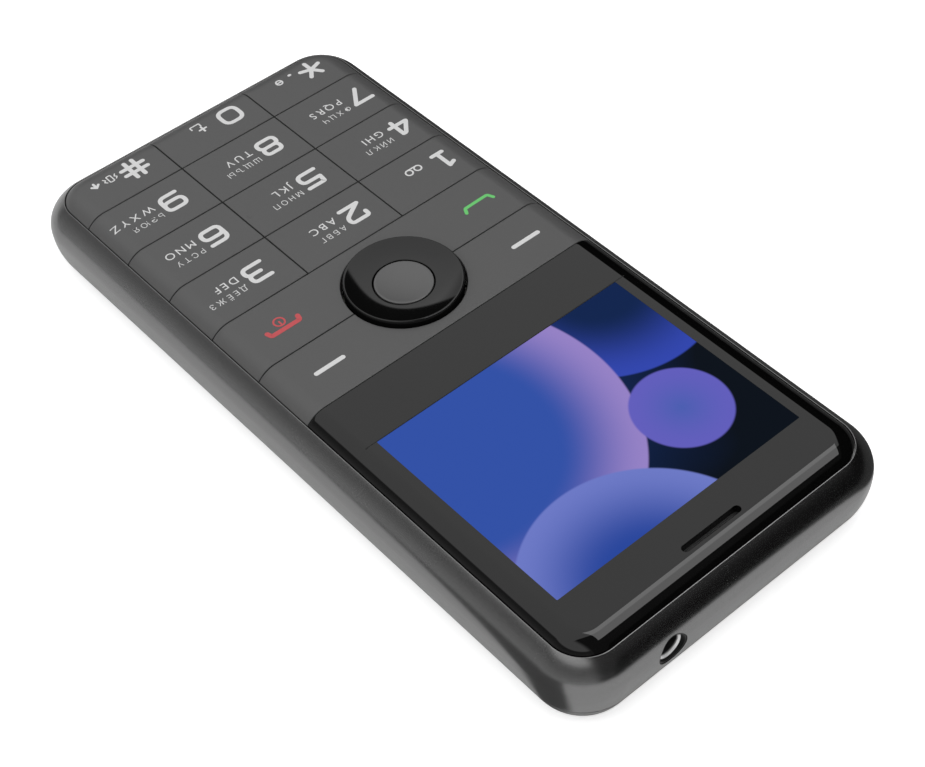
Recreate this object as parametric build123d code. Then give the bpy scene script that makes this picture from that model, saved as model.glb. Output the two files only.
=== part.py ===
from build123d import *
import math
import os

# A bar-shaped mobile phone with a full keypad, lying on its back with its face up.
# X runs across the phone, Y along it towards the earpiece, and Z up out of the screen.
# The origin is the middle of the flat back, on the surface that the phone lies on.
# All sizes are in millimetres, and all angles in degrees.
# The length follows from the rows of keys, the display and the earpiece, and the width
# from the display, its tray and the screw bosses beside it.

# Body
body_depth = 13.9
corner_radius = 8.4
waist_drop = 6.1
crown_inset = 2.63
crown_tip_radius = 1.8
belly_inset = 3.65
belly_tip_radius = 2.24
shoulder_drop = 1.47
shoulder_width = 3.1
rim_width = 0.38
face_gap = 0.15
wall = 1.95
seam_height = 3.3
seam_gap = 0.1
overrun = 1.0
tip_flats = 3
dish_flats = 5
button_flats = 3
post_sides = 6
slot_end_sides = 8
drum_sides = 24

# Face pieces
cap_thickness = 2.3
key_gap = 0.18
key_column = 18.14
key_pitch = 10.7
key_rows = 4
bottom_row_height = 10.03
call_bar_height = 11.16
soft_bar_height = 11.28
key_travel = 0.35
press_margin = 0.1
stem_radius = 1.2
stem_play = 0.25

# Navigation ring and its button
ring_radius = 8.95
ring_gap = 0.42
ring_inner_radius = 4.65
ring_crest_height = 0.91
ring_chamfer = 0.2
ring_lip_height = 0.1
ring_dish_start = 3.0
button_gap = 0.2
button_dish = 0.25
button_lift = 0.3
pad_radius = 8.35
pad_thickness = 0.6
pad_hole_radius = 1.6
pad_float = 0.4
nub_circle_radius = 6.4
nub_radius = 0.9
nub_travel = 0.3

# Display
display_width = 45.0
display_height = 35.9
crossbar_width = 6.23
lcd_border = 1.2
lcd_ledge = 3.0
lcd_thickness = 1.4
backlight_thickness = 1.2
tray_wall = 0.25
tray_play = 0.1
window_thickness = 1.3
gasket_thickness = 0.25
gasket_overlap = 0.4
display_clearance = 0.25

# Earpiece
earpiece_margin = 3.8
earpiece_slot_length = 10.7
earpiece_slot_width = 1.2
mesh_length = 12.4
mesh_width = 3.2
mesh_thickness = 0.2
receiver_length = 12.0
receiver_width = 6.0
receiver_gap = 0.63
receiver_air = 0.1
receiver_play = 0.3

# Keypad web, dome sheet and main board
web_thickness = 0.4
web_play = 0.25
web_rib_width = 1.0
ledge_thickness = 0.9
ledge_width = 2.6
ledge_corner = 3.0
crossbar_overhang = 1.0
film_thickness = 0.12
film_side_margin = 1.55
film_end_margin = 2.4
dome_radius = 2.0
dome_crown_radius = 1.0
dome_height = 0.3
board_thickness = 1.0
board_corner = 3.0
board_end_margin = 1.0
board_play = 0.4

# Screws and rear chassis
boss_radius = 1.9
boss_gap = 0.05
boss_rib = 1.0
boss_end_margin = 4.4
boss_bar_margin = 1.4
screw_edge = 1.7
screw_radius = 0.7
screw_play = 0.05
screw_depth = 2.2
screw_head_radius = 1.4
screw_head_height = 0.8
shield_height = 1.4
shield_wall = 0.2
shield_gap = 0.1
chassis_thickness = 0.6
chassis_play = 0.15
chassis_cut_play = 0.2
rail_width = 1.0
rail_end_margin = 8.4

# Battery and its bay
battery_width = 36.0
battery_length = 54.0
battery_corner = 1.5
battery_play = 0.3
battery_air = 0.1
bay_wall = 1.0
bay_gap = 2.1
connector_width = 10.0
connector_length = 3.5
connector_drop = 5.0

# Rear cover
cover_wall = 1.2
cover_air = 0.3
tongue_height = 1.0
tongue_thickness = 0.8
tongue_play = 0.12
camera_end_margin = 14.85
camera_body = 8.5
camera_barrel_radius = 3.0
camera_barrel_length = 1.8
camera_lens_radius = 1.5
camera_lens_depth = 0.5
camera_hole_radius = 3.2
camera_seat_radius = 4.2
camera_seat_depth = 0.8
camera_window_recess = 0.2
camera_window_play = 0.05
speaker_side_margin = 1.95
speaker_end_margin = 20.85
speaker_radius = 7.5
speaker_thickness = 3.4
speaker_recess = 0.5
speaker_rim = 1.0
speaker_mesh_thickness = 0.15
speaker_mesh_margin = 0.8
speaker_slot_count = 5
speaker_slot_length = 7.0
speaker_slot_width = 1.0
speaker_slot_pitch = 2.0

# Parts on the board's rear side: width and length, and the gaps between them
part_gap = 0.95
shield_side_gap = 1.95
radio_gap = 0.2
processor_gap = 0.8
radio_shield_size = (16.0, 16.0)
processor_shield_size = (20.0, 14.0)
sim_size = (15.0, 17.0)
card_size = (12.0, 15.0)
socket_gap = 3.0
socket_set_back = 7.0
socket_height = 1.4
motor_radius = 5.0
motor_thickness = 3.0
motor_end_margin = 6.8
microphone_size = (3.8, 3.0)
microphone_height = 1.1
microphone_x = -12.0
microphone_inset = 1.6
microphone_hole_radius = 0.5
antenna_width = 42.0
antenna_length = 13.0
antenna_depth = 4.4
antenna_inset = 2.4
antenna_foil_thickness = 0.1
antenna_foil_margin = 2.0
antenna_foil_track = 3.0

# Sockets in the end walls
jack_x = 13.57
jack_drop = 6.7
jack_hole_radius = 2.5
jack_hole_depth = 1.2
jack_bore_radius = 1.8
jack_sleeve_wall = 0.3
jack_bore_length = 11.5
jack_end_wall = 0.8
jack_body_width = 6.2
jack_body_height = 4.5
jack_play = 0.05
jack_notch_play = 0.3
usb_width = 7.5
usb_height = 2.6
usb_length = 5.5
usb_wall = 0.3
usb_corner = 0.8
usb_setback = 0.9
usb_play = 0.3
usb_tongue_width = 4.6
usb_tongue_height = 0.7

# Heights, worked out from the face down to the board and on to the back
face_z = body_depth
waist_z = face_z - waist_drop
rim_z = face_z - shoulder_drop
cap_under = face_z - cap_thickness
pocket_z = face_z - window_thickness
lcd_top = pocket_z - gasket_thickness
lcd_under = lcd_top - lcd_thickness
backlight_under = lcd_under - backlight_thickness
board_top = backlight_under - tray_wall
board_under = board_top - board_thickness
web_top = cap_under - key_travel - press_margin
web_under = web_top - web_thickness
ledge_under = web_under - ledge_thickness
film_top = board_top + film_thickness
dome_top = film_top + dome_height
stem_end = dome_top + key_travel + press_margin
chassis_top = board_under - shield_height - shield_gap
chassis_under = chassis_top - chassis_thickness
bay_foot = cover_wall + cover_air
battery_high = chassis_under - battery_air
jack_z = face_z - jack_drop
usb_z = board_under - usb_height / 2
seam_top = seam_height + seam_gap / 2
seam_low = seam_height - seam_gap / 2

# Reaches, measured outward from the line of a corner's centre
rim_reach = corner_radius - crown_inset
back_reach = corner_radius - belly_inset
opening_reach = rim_reach - rim_width
face_reach = opening_reach - face_gap
inner_reach = corner_radius - wall

# Widths, worked out from the display to the outside
tray_margin = tray_play + tray_wall
pocket_margin = tray_margin + display_clearance
lcd_half_width = display_width / 2 + lcd_border
boss_x = lcd_half_width + pocket_margin + boss_gap + boss_radius
board_half_width = boss_x - boss_radius - board_play
inner_half_width = boss_x + screw_edge + chassis_play
corner_x = inner_half_width - inner_reach
face_half_width = corner_x + face_reach

# Lengths, worked out from the keypad's end to the earpiece
keys_length = bottom_row_height + key_pitch * (key_rows - 1)
bars_length = call_bar_height + soft_bar_height
window_chin = crossbar_width + pocket_margin + lcd_ledge
receiver_reach = tray_margin + receiver_gap + receiver_width / 2
window_forehead = lcd_border + receiver_reach + earpiece_margin
window_length = window_chin + display_height + window_forehead
face_half_length = (keys_length + bars_length + window_length) / 2
corner_y = face_half_length - face_reach
body_half_length = corner_y + corner_radius
inner_half_length = corner_y + inner_reach
window_edge = face_half_length - window_length
navigation_y = window_edge - soft_bar_height
first_row_edge = navigation_y - call_bar_height
display_y = window_edge + window_chin + display_height / 2
lcd_low_y = display_y - display_height / 2 - lcd_ledge
lcd_high_y = display_y + display_height / 2 + lcd_border
earpiece_y = face_half_length - earpiece_margin

# The keys' grid
row_edges = [first_row_edge - key_pitch * row for row in range(key_rows)] + [-face_half_length]
column_edges = [-face_half_width, -key_column / 2, key_column / 2, face_half_width]
side_column_x = (key_column / 2 + face_half_width) / 2
key_names = (("1", "2", "3"), ("4", "5", "6"), ("7", "8", "9"), ("star", "0", "hash"))

# Places along the rear side, from the keypad's end: antenna, battery, connector and shields
antenna_low_y = antenna_inset - inner_half_length
antenna_high_y = antenna_low_y + antenna_length
battery_y = antenna_high_y + bay_gap + bay_wall + battery_play + battery_length / 2
battery_end_y = battery_y + battery_length / 2 + battery_play
radio_y = battery_end_y + connector_length + radio_gap + radio_shield_size[1] / 2
radio_place = (board_half_width - rail_width - shield_side_gap - radio_shield_size[0] / 2, radio_y)
processor_place = (0, battery_end_y - processor_gap - processor_shield_size[1] / 2)
sim_place = (-(socket_gap + sim_size[0]) / 2, battery_y - socket_set_back)
card_place = ((socket_gap + card_size[0]) / 2, battery_y - socket_set_back)
motor_place = (rail_width + part_gap + motor_radius - board_half_width, inner_half_length - motor_end_margin)
camera_place = (0, inner_half_length - camera_end_margin)
speaker_x = speaker_side_margin + speaker_radius - board_half_width
speaker_y = inner_half_length - speaker_end_margin


def block(x_span, y_span, z_span):
    """A box between two values on each axis."""
    sizes = [span[1] - span[0] for span in (x_span, y_span, z_span)]
    middle = [(span[1] + span[0]) / 2 for span in (x_span, y_span, z_span)]
    return Pos(*middle) * Box(*sizes)


def around(place, half, extra=0):
    """The span of a size about a place, with some extra at each end."""
    return (place - half - extra, place + half + extra)


def disc(x, y, radius, z_span):
    """An upright cylinder."""
    return Pos(x, y, (z_span[0] + z_span[1]) / 2) * Cylinder(radius, z_span[1] - z_span[0])


def post(place, radius, z_span, sides=post_sides):
    """A small upright post with flat sides, or the hole that takes one."""
    plan = RegularPolygon(radius, sides)
    return Pos(place[0], place[1], z_span[0]) * extrude(plan, z_span[1] - z_span[0])


def drum(place, radius, z_span):
    """A wide round piece inside the phone, with many narrow flat sides."""
    return post(place, radius, z_span, drum_sides)


def cut_corners(width, height, corner):
    """A rectangle with its corners cut off."""
    return chamfer(Rectangle(width, height).vertices(), corner)


def slot(length, width, place, z_span):
    """A narrow slot across the phone, with its ends rounded off in flats."""
    half = length / 2 - width / 2
    ends = [post((place[0] + side * half, place[1]), width / 2, z_span, slot_end_sides) for side in (-1, 1)]
    middle = block(around(place[0], half), around(place[1], width / 2), z_span)
    return middle + ends


def slab(reach, z_span):
    """A flat plate that follows the body's plan, with the same corner centres."""
    plan = RectangleRounded(2 * (corner_x + reach), 2 * (corner_y + reach), reach)
    return Pos(0, 0, z_span[0]) * extrude(plan, z_span[1] - z_span[0])


def footprint(size, place, z_span, extra=0):
    """A box for a board part, from its size and its place on the board."""
    x_span = around(place[0], size[0] / 2, extra)
    y_span = around(place[1], size[1] / 2, extra)
    return block(x_span, y_span, z_span)


def wrapped(section, z_span):
    """Carry a section round the body's corners and sides, and fill the middle."""
    face = Plane.XZ * section
    along = extrude(face, corner_y, both=True)
    across = extrude(face, corner_x, both=True)
    corner = revolve(face, Axis.Z, 90)
    pieces = [
        Pos(corner_x, 0, 0) * along,
        Pos(-corner_x, 0, 0) * Rot(0, 0, 180) * along,
        Pos(0, corner_y, 0) * Rot(0, 0, 90) * across,
        Pos(0, -corner_y, 0) * Rot(0, 0, 270) * across,
    ]
    for turn, side, end in ((0, 1, 1), (90, -1, 1), (180, -1, -1), (270, 1, -1)):
        pieces.append(Pos(side * corner_x, end * corner_y, 0) * Rot(0, 0, turn) * corner)
    core = block((-corner_x, corner_x), (-corner_y, corner_y), z_span)
    return core + pieces


def in_flats(curve, flats):
    """A curve drawn as a few straight chords, which keeps a round piece light."""
    return Polyline(*[curve @ (step / flats) for step in range(flats + 1)])


def side_curve(rise, inset, height, tip_radius):
    """Two tangent arcs from the widest line up (rise 1) or down (rise -1), turning in to lie flat.

    The tighter arc is drawn in a few flats, which keeps the shells light.
    """
    flank_radius = (inset**2 + height**2 - 2 * height * tip_radius) / (2 * (inset - tip_radius))
    turn = math.degrees(math.atan2(height - tip_radius, flank_radius - inset))
    flank = JernArc((corner_radius, waist_z), (0, rise), flank_radius, rise * turn)
    tip = JernArc(flank @ 1, flank % 1, tip_radius, rise * (90 - turn))
    return [flank, in_flats(tip, tip_flats)]


def body_section():
    """Half section of the body: a flat back, an oval side in four arcs and a flat crown."""
    belly = side_curve(-1, belly_inset, waist_z, belly_tip_radius)
    crown = side_curve(1, crown_inset, rim_z - waist_z, crown_tip_radius)
    inner = Polyline((rim_reach, rim_z), (0, rim_z), (0, 0), (back_reach, 0))
    return make_face([*belly, *crown, inner])


def face_section():
    """Half section of the window and keys: flat on top, rolling over to the rim."""
    start = face_reach - shoulder_width
    shoulder = TangentArc((start, face_z), (face_reach, rim_z), tangent=(1, 0))
    inner = Polyline(
        (face_reach, rim_z), (face_reach, cap_under), (0, cap_under), (0, face_z), (start, face_z)
    )
    return make_face([shoulder, inner])


outer_form = wrapped(body_section(), (0, rim_z))
face_form = wrapped(face_section(), (cap_under, face_z))
far = 2 * body_half_length


def layer(z_span):
    """The part of the body's outer form between two heights."""
    return outer_form & block((-far, far), (-far, far), z_span)


def display_block(z_span, margin):
    """A box as large as the display's glass, with a margin all round."""
    x_span = around(0, lcd_half_width, margin)
    return block(x_span, (lcd_low_y - margin, lcd_high_y + margin), z_span)


def receiver_block(z_span, margin=0):
    """A box as large as the earpiece receiver, with a margin all round."""
    return footprint((receiver_length, receiver_width), (0, earpiece_y), z_span, margin)


def key_places():
    """Each number key's name with the spans of its cell."""
    places = {}
    for row, names in enumerate(key_names):
        low = row_edges[row + 1] - (overrun if row == key_rows - 1 else 0)
        y_span = (low + key_gap / 2, row_edges[row] - key_gap / 2)
        for column, name in enumerate(names):
            left = column_edges[column] - (overrun if column == 0 else 0)
            right = column_edges[column + 1] + (overrun if column == 2 else 0)
            places["key_" + name] = ((left + key_gap / 2, right - key_gap / 2), y_span)
    return places


def key_stems():
    """Where each number key's stem stands over its dome."""
    stems = {}
    for row, names in enumerate(key_names):
        y = (row_edges[row] + row_edges[row + 1]) / 2
        for name, x in zip(names, (-side_column_x, 0, side_column_x)):
            stems["key_" + name] = (x, y)
    return stems


def bar_stems():
    """Where the two function bars' stems stand, by the bar's name."""
    bars = {}
    for name, offset in (("soft_key_bar", soft_bar_height / 2), ("call_key_bar", -call_bar_height / 2)):
        bars[name] = [(side * side_column_x, navigation_y + offset) for side in (-1, 1)]
    return bars


def nub_places():
    """The four places under the navigation pad where it presses a dome."""
    steps = ((1, 0), (0, 1), (-1, 0), (0, -1))
    return [(x * nub_circle_radius, navigation_y + y * nub_circle_radius) for x, y in steps]


def stem(place):
    """A stem under a key cap, ending just above its dome."""
    return post(place, stem_radius, (stem_end, cap_under))


def key_cap(spans, place):
    """One number key: its cell of the face, on its stem."""
    cell = block(spans[0], spans[1], (0, far))
    return (face_form & cell) + stem(place)


def function_bar(name):
    """A pair of function keys in one bar, cut round the navigation ring."""
    edges = {
        "soft_key_bar": (navigation_y, window_edge),
        "call_key_bar": (first_row_edge, navigation_y),
    }
    low, high = edges[name]
    cell = block((-far, far), (low + key_gap / 2, high - key_gap / 2), (0, far))
    well = disc(0, navigation_y, ring_radius + ring_gap, (0, far))
    return (face_form & cell) - well + [stem(place) for place in bar_stems()[name]]


def display_window():
    """The clear window over the display, with its edges rolled down to the rim."""
    window = face_form & block((-far, far), (window_edge + key_gap / 2, far), (0, far))
    window -= display_block((0, pocket_z), pocket_margin)
    window -= receiver_block((0, pocket_z), receiver_play)
    return window - slot(earpiece_slot_length, earpiece_slot_width, (0, earpiece_y), (0, far))


def front_housing():
    """The front shell: rim, side walls, window seat, keypad ledge and screw bosses."""
    shell = layer((seam_top, far)) - slab(inner_reach, (0, ledge_under))
    shell -= slab(opening_reach, (cap_under, far))
    keypad_side = block((-far, far), (-far, window_edge), (0, far))
    shell -= slab(opening_reach, (web_under, cap_under)) & keypad_side
    shell -= keypad_opening()
    shell -= display_block((0, far), pocket_margin)
    shell -= receiver_block((0, far), receiver_play)
    hole_top = chassis_top + screw_depth
    for x, y in boss_places():
        wall_x = math.copysign(inner_half_width + boss_gap, x)
        rib = block((min(x, wall_x), max(x, wall_x)), around(y, boss_rib / 2), (chassis_top, web_under))
        shell += rib + post((x, y), boss_radius, (chassis_top, web_under))
        shell -= post((x, y), screw_radius + screw_play, (0, hole_top))
    return shell - end_wall_holes()


def keypad_opening():
    """The opening in the ledge under the keys."""
    half_width = inner_half_width - ledge_width
    low = ledge_width - inner_half_length
    high = window_edge - crossbar_overhang
    plan = cut_corners(2 * half_width, high - low, ledge_corner)
    return Pos(0, (low + high) / 2, 0) * extrude(plan, far)


def boss_places():
    """The six screw places, in two rows along the sides."""
    end_y = corner_y - boss_end_margin
    rows = (-end_y, window_edge - boss_bar_margin, end_y)
    return [(side * boss_x, y) for side in (-1, 1) for y in rows]


def end_wall_holes():
    """The holes through the end walls: audio jack, data socket and microphone."""
    through = 2 * (corner_radius + overrun)
    jack = Rot(90, 0, 0) * Cylinder(jack_hole_radius, through)
    seat = block(
        around(jack_x, jack_body_width / 2, jack_play),
        (corner_y, body_half_length - jack_hole_depth),
        around(jack_z, jack_body_height / 2, jack_play),
    )
    usb = extrude(Plane.XZ * usb_outline(usb_play), through / 2, both=True)
    small_hole = Rot(90, 0, 0) * post((0, 0), microphone_hole_radius, around(0, through / 2), slot_end_sides)
    return [
        seat,
        Pos(jack_x, body_half_length, jack_z) * jack,
        Pos(0, -body_half_length, usb_z) * usb,
        Pos(microphone_x, -body_half_length, board_under - microphone_height / 2) * small_hole,
    ]


def navigation_ring():
    """The dished ring round the centre button, with a bevelled outer edge."""
    lip = (ring_inner_radius, face_z + ring_lip_height)
    crest = (ring_radius - ring_chamfer, face_z + ring_crest_height)
    slope = math.radians(ring_dish_start)
    dish = in_flats(TangentArc(lip, crest, tangent=(math.cos(slope), math.sin(slope))), dish_flats)
    sides = Polyline(
        crest,
        (ring_radius, face_z + ring_crest_height - ring_chamfer),
        (ring_radius, cap_under),
        (ring_inner_radius, cap_under),
        lip,
    )
    return Pos(0, navigation_y, 0) * revolve(Plane.XZ * make_face([dish, sides]), Axis.Z, 360)


def navigation_pad():
    """The rubber pad under the ring, with a nub over each of its four domes."""
    high = cap_under - pad_float
    pad = drum((0, navigation_y), pad_radius, (high - pad_thickness, high))
    for place in nub_places():
        pad += post(place, nub_radius, (dome_top + nub_travel + press_margin, high))
    return pad - post((0, navigation_y), pad_hole_radius, (0, far))


def centre_button():
    """The round select button, gently dished, with its stem."""
    radius = ring_inner_radius - button_gap
    high = face_z + ring_lip_height
    low = cap_under + button_lift
    dish = in_flats(TangentArc((0, high - button_dish), (radius, high), tangent=(1, 0)), button_flats)
    sides = Polyline((radius, high), (radius, low), (0, low), (0, high - button_dish))
    button = revolve(Plane.XZ * make_face([dish, sides]), Axis.Z, 360)
    return Pos(0, navigation_y, 0) * button + post((0, navigation_y), stem_radius, (stem_end, low))


def keypad_web():
    """The rubber web under the keys, with two ribs that stand on the dome sheet."""
    field = block((-far, far), (-far, window_edge - web_play), (0, far))
    web = slab(opening_reach - web_play, (web_under, web_top)) & field
    for side in (-1, 1):
        x_span = around(side * key_column / 2, web_rib_width / 2)
        web += block(x_span, (row_edges[-2], first_row_edge), (film_top, web_under))
    places = list(key_stems().values()) + sum(bar_stems().values(), [])
    holes = [post(place, stem_radius + stem_play, (0, far)) for place in places]
    holes.append(drum((0, navigation_y), ring_radius + ring_gap, (0, far)))
    return web - holes


def dome_sheet():
    """The film on the board with a snap dome under each stem and nub."""
    y_span = (film_end_margin - face_half_length, window_edge - film_end_margin)
    sheet = block(around(0, board_half_width - film_side_margin), y_span, (board_top, film_top))
    narrowing = (dome_radius - dome_crown_radius) * math.cos(math.pi / post_sides)
    taper = math.degrees(math.atan2(narrowing, dome_height))
    dome = Pos(0, 0, film_top) * extrude(RegularPolygon(dome_radius, post_sides), dome_height, taper=taper)
    places = list(key_stems().values()) + sum(bar_stems().values(), []) + nub_places()
    places.append((0, navigation_y))
    return sheet + [Pos(x, y, 0) * dome for x, y in places]


def display_gasket():
    """The foam frame between the window and the display's glass."""
    frame = display_block((lcd_top, pocket_z), 0)
    return frame - footprint((display_width, display_height), (0, display_y), (0, far), gasket_overlap)


def lcd_panel():
    """The display's glass sandwich."""
    return display_block((lcd_under, lcd_top), 0)


def backlight_unit():
    """The light guide and its plastic frame behind the display's glass."""
    return display_block((backlight_under, lcd_under), 0)


def lcd_tray():
    """The sheet-metal tray that holds the display and its light to the board."""
    tray = display_block((board_top, lcd_top - lcd_thickness / 2), tray_margin)
    return tray - display_block((backlight_under, far), tray_play)


def earpiece_mesh():
    """The fine mesh behind the earpiece slot."""
    z_span = (pocket_z - mesh_thickness, pocket_z)
    return footprint((mesh_length, mesh_width), (0, earpiece_y), z_span)


def earpiece_receiver():
    """The small speaker for the ear, on the board under its slot."""
    return receiver_block((board_top, pocket_z - mesh_thickness - receiver_air))


def main_board():
    """The circuit board, notched for the audio jack."""
    length = 2 * (inner_half_length - board_end_margin)
    plan = cut_corners(2 * board_half_width, length, board_corner)
    return Pos(0, 0, board_under) * extrude(plan, board_thickness) - jack_space()


def jack_front():
    """Where the audio jack's mouth lies, against the inside of its hole's wall."""
    return body_half_length - jack_hole_depth - jack_play


def jack_space():
    """The room that the audio jack takes out of the board and the chassis."""
    low = jack_front() - jack_bore_length - jack_end_wall - jack_notch_play
    return block(around(jack_x, jack_body_width / 2, jack_notch_play), (low, far), (0, far))


def audio_jack():
    """The audio jack's plastic body, with a round seat for its sleeve."""
    depth = jack_bore_length + jack_end_wall
    z_span = around(jack_z, jack_body_height / 2)
    body = block(around(jack_x, jack_body_width / 2), (jack_front() - depth, jack_front()), z_span)
    seat = Rot(90, 0, 0) * Cylinder(jack_bore_radius + jack_sleeve_wall, jack_bore_length)
    return body - Pos(jack_x, jack_front() - jack_bore_length / 2, jack_z) * seat


def audio_jack_sleeve():
    """The metal sleeve that lines the audio jack's bore."""
    sleeve = Cylinder(jack_bore_radius + jack_sleeve_wall, jack_bore_length)
    sleeve -= Cylinder(jack_bore_radius, jack_bore_length)
    return Pos(jack_x, jack_front() - jack_bore_length / 2, jack_z) * Rot(90, 0, 0) * sleeve


def usb_outline(margin):
    """The data socket's outline, with a margin: square by the face, cut off towards the back."""
    half_width, half_height = usb_width / 2 + margin, usb_height / 2 + margin
    low_half = half_width - usb_corner
    shape = Polyline(
        (half_width, half_height),
        (-half_width, half_height),
        (-half_width, usb_corner - half_height),
        (-low_half, -half_height),
        (low_half, -half_height),
        (half_width, usb_corner - half_height),
        close=True,
    )
    return make_face(shape)


def usb_shell():
    """The data socket's metal shell, open at its mouth."""
    shell = extrude(Plane.XZ * usb_outline(0), -usb_length)
    shell -= extrude(Plane.XZ * usb_outline(-usb_wall), usb_wall - usb_length)
    return Pos(0, usb_setback - body_half_length, usb_z) * shell


def usb_tongue():
    """The plastic tongue inside the data socket."""
    low = usb_setback - body_half_length
    y_span = (low + usb_setback, low + usb_length - usb_wall)
    return block(around(0, usb_tongue_width / 2), y_span, around(usb_z, usb_tongue_height / 2))


def usb_space():
    """The room that the data socket takes out of the chassis and antenna carrier."""
    high = usb_setback + usb_length + usb_play - body_half_length
    return block(around(0, usb_width / 2, usb_play), (-far, high), (0, far))


def shield_can(size, place):
    """A sheet-metal can on the board's rear side, open towards the board."""
    low = board_under - shield_height
    can = footprint(size, place, (low, board_under))
    return can - footprint(size, place, (low + shield_wall, far), -shield_wall)


def card_socket(size, place):
    """A card socket on the board's rear side, with its slot open along Y."""
    low = board_under - socket_height
    socket = footprint(size, place, (low, board_under))
    slot = (size[0] - 2 * shield_wall, size[1])
    lift = (low + shield_wall, board_under - shield_wall)
    return socket - footprint(slot, (place[0], place[1] - shield_wall), lift)


def battery():
    """The flat battery pack, rounded at its edges."""
    plan = cut_corners(battery_width, battery_length, battery_corner)
    return Pos(0, battery_y, bay_foot) * extrude(plan, battery_high - bay_foot)


def connector_block(extra=0):
    """The battery connector's outline, with some extra all round."""
    size = (connector_width, connector_length)
    place = (0, battery_end_y + connector_length / 2)
    return footprint(size, place, (board_under - connector_drop, board_under), extra)


def rear_chassis():
    """The inner frame: a plate with the battery bay, speaker seat and board rails."""
    chassis = slab(inner_reach - chassis_play, (chassis_under, chassis_top)) + bay_walls()
    seat_span = (bay_foot + speaker_thickness, chassis_under)
    chassis += drum((speaker_x, speaker_y), speaker_radius, seat_span)
    rail_half_length = corner_y - rail_end_margin
    for side in (-1, 1):
        x_span = around(side * (board_half_width - rail_width / 2), rail_width / 2)
        chassis += block(x_span, (-rail_half_length, rail_half_length), (chassis_top, board_under))
    return chassis - chassis_openings()


def bay_walls():
    """The four walls round the battery."""
    size = (battery_width, battery_length)
    place = (0, battery_y)
    z_span = (bay_foot, chassis_under)
    outside = footprint(size, place, z_span, battery_play + bay_wall)
    return outside - footprint(size, place, z_span, battery_play)


def chassis_openings():
    """Everything that is cut out of the chassis plate."""
    z_span = (0, far)
    cuts = [
        footprint(sim_size, sim_place, z_span, chassis_cut_play),
        footprint(card_size, card_place, z_span, chassis_cut_play),
        footprint((camera_body, camera_body), camera_place, z_span, chassis_cut_play),
        footprint((2 * motor_radius, 2 * motor_radius), motor_place, z_span, chassis_cut_play),
        connector_block(chassis_cut_play),
        jack_space(),
        usb_space(),
    ]
    return cuts + [post(place, screw_radius + screw_play, z_span) for place in boss_places()]


def chassis_screws():
    """The six screws that hold the chassis to the front housing's bosses."""
    shank_end = chassis_top + screw_depth - screw_play
    screws = []
    for place in boss_places():
        head = post(place, screw_head_radius, (chassis_under - screw_head_height, chassis_under))
        screws.append(head + post(place, screw_radius, (chassis_under, shank_end)))
    return Compound(children=screws)


def camera_module():
    """The rear camera: a square body on the board and a round barrel with its lens recess."""
    barrel_top = bay_foot + camera_barrel_length
    camera = footprint((camera_body, camera_body), camera_place, (barrel_top, board_under))
    camera += drum(camera_place, camera_barrel_radius, (bay_foot, barrel_top))
    return camera - drum(camera_place, camera_lens_radius, (0, bay_foot + camera_lens_depth))


def camera_window():
    """The clear disc over the camera, set into the rear cover."""
    radius = camera_seat_radius - camera_window_play
    return drum(camera_place, radius, (camera_window_recess, camera_seat_depth))


def loudspeaker():
    """The loudspeaker, with its cone set back behind a rim."""
    place = (speaker_x, speaker_y)
    speaker = drum(place, speaker_radius, (bay_foot, bay_foot + speaker_thickness))
    return speaker - drum(place, speaker_radius - speaker_rim, (0, bay_foot + speaker_recess))


def speaker_mesh():
    """The mesh behind the rear cover's speaker slots."""
    size = (speaker_slot_length, speaker_slot_pitch * speaker_slot_count)
    z_span = (cover_wall, cover_wall + speaker_mesh_thickness)
    return footprint(size, (speaker_x, speaker_y), z_span, speaker_mesh_margin)


def vibration_motor():
    """The coin-shaped vibration motor on the board's rear side."""
    return drum(motor_place, motor_radius, (board_under - motor_thickness, board_under))


def microphone():
    """The microphone, behind its hole in the keypad end's wall."""
    place = (microphone_x, microphone_inset + microphone_size[1] / 2 - inner_half_length)
    return footprint(microphone_size, place, (board_under - microphone_height, board_under))


def antenna_carrier():
    """The plastic block that holds the antenna, notched for the data socket."""
    z_span = (chassis_under - antenna_depth, chassis_under)
    return block(around(0, antenna_width / 2), (antenna_low_y, antenna_high_y), z_span) - usb_space()


def antenna_foil():
    """The antenna: a folded track of foil under its carrier."""
    high = chassis_under - antenna_depth
    z_span = (high - antenna_foil_thickness, high)
    low_y = antenna_low_y + antenna_foil_margin
    high_y = antenna_high_y - antenna_foil_margin
    half = antenna_width / 2 - antenna_foil_margin
    track = block((-half, half), (high_y - antenna_foil_track, high_y), z_span)
    for side in (-1, 1):
        x_span = around(side * (half - antenna_foil_track / 2), antenna_foil_track / 2)
        track += block(x_span, (low_y, high_y), z_span)
    return track


def rear_cover():
    """The removable back: a curved tray with a tongue that lies inside the seam."""
    tongue_reach = inner_reach - tongue_play
    hollow = slab(tongue_reach - tongue_thickness, (cover_wall, far))
    cover = layer((0, seam_low)) + slab(tongue_reach, (cover_wall, seam_height + tongue_height))
    cover -= hollow
    cover -= disc(*camera_place, camera_hole_radius, (0, far))
    cover -= disc(*camera_place, camera_seat_radius, (0, camera_seat_depth))
    for step in range(speaker_slot_count):
        offset = (step - (speaker_slot_count - 1) / 2) * speaker_slot_pitch
        place = (speaker_x, speaker_y + offset)
        cover -= slot(speaker_slot_length, speaker_slot_width, place, (-overrun, cover_wall + overrun))
    return cover


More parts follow.
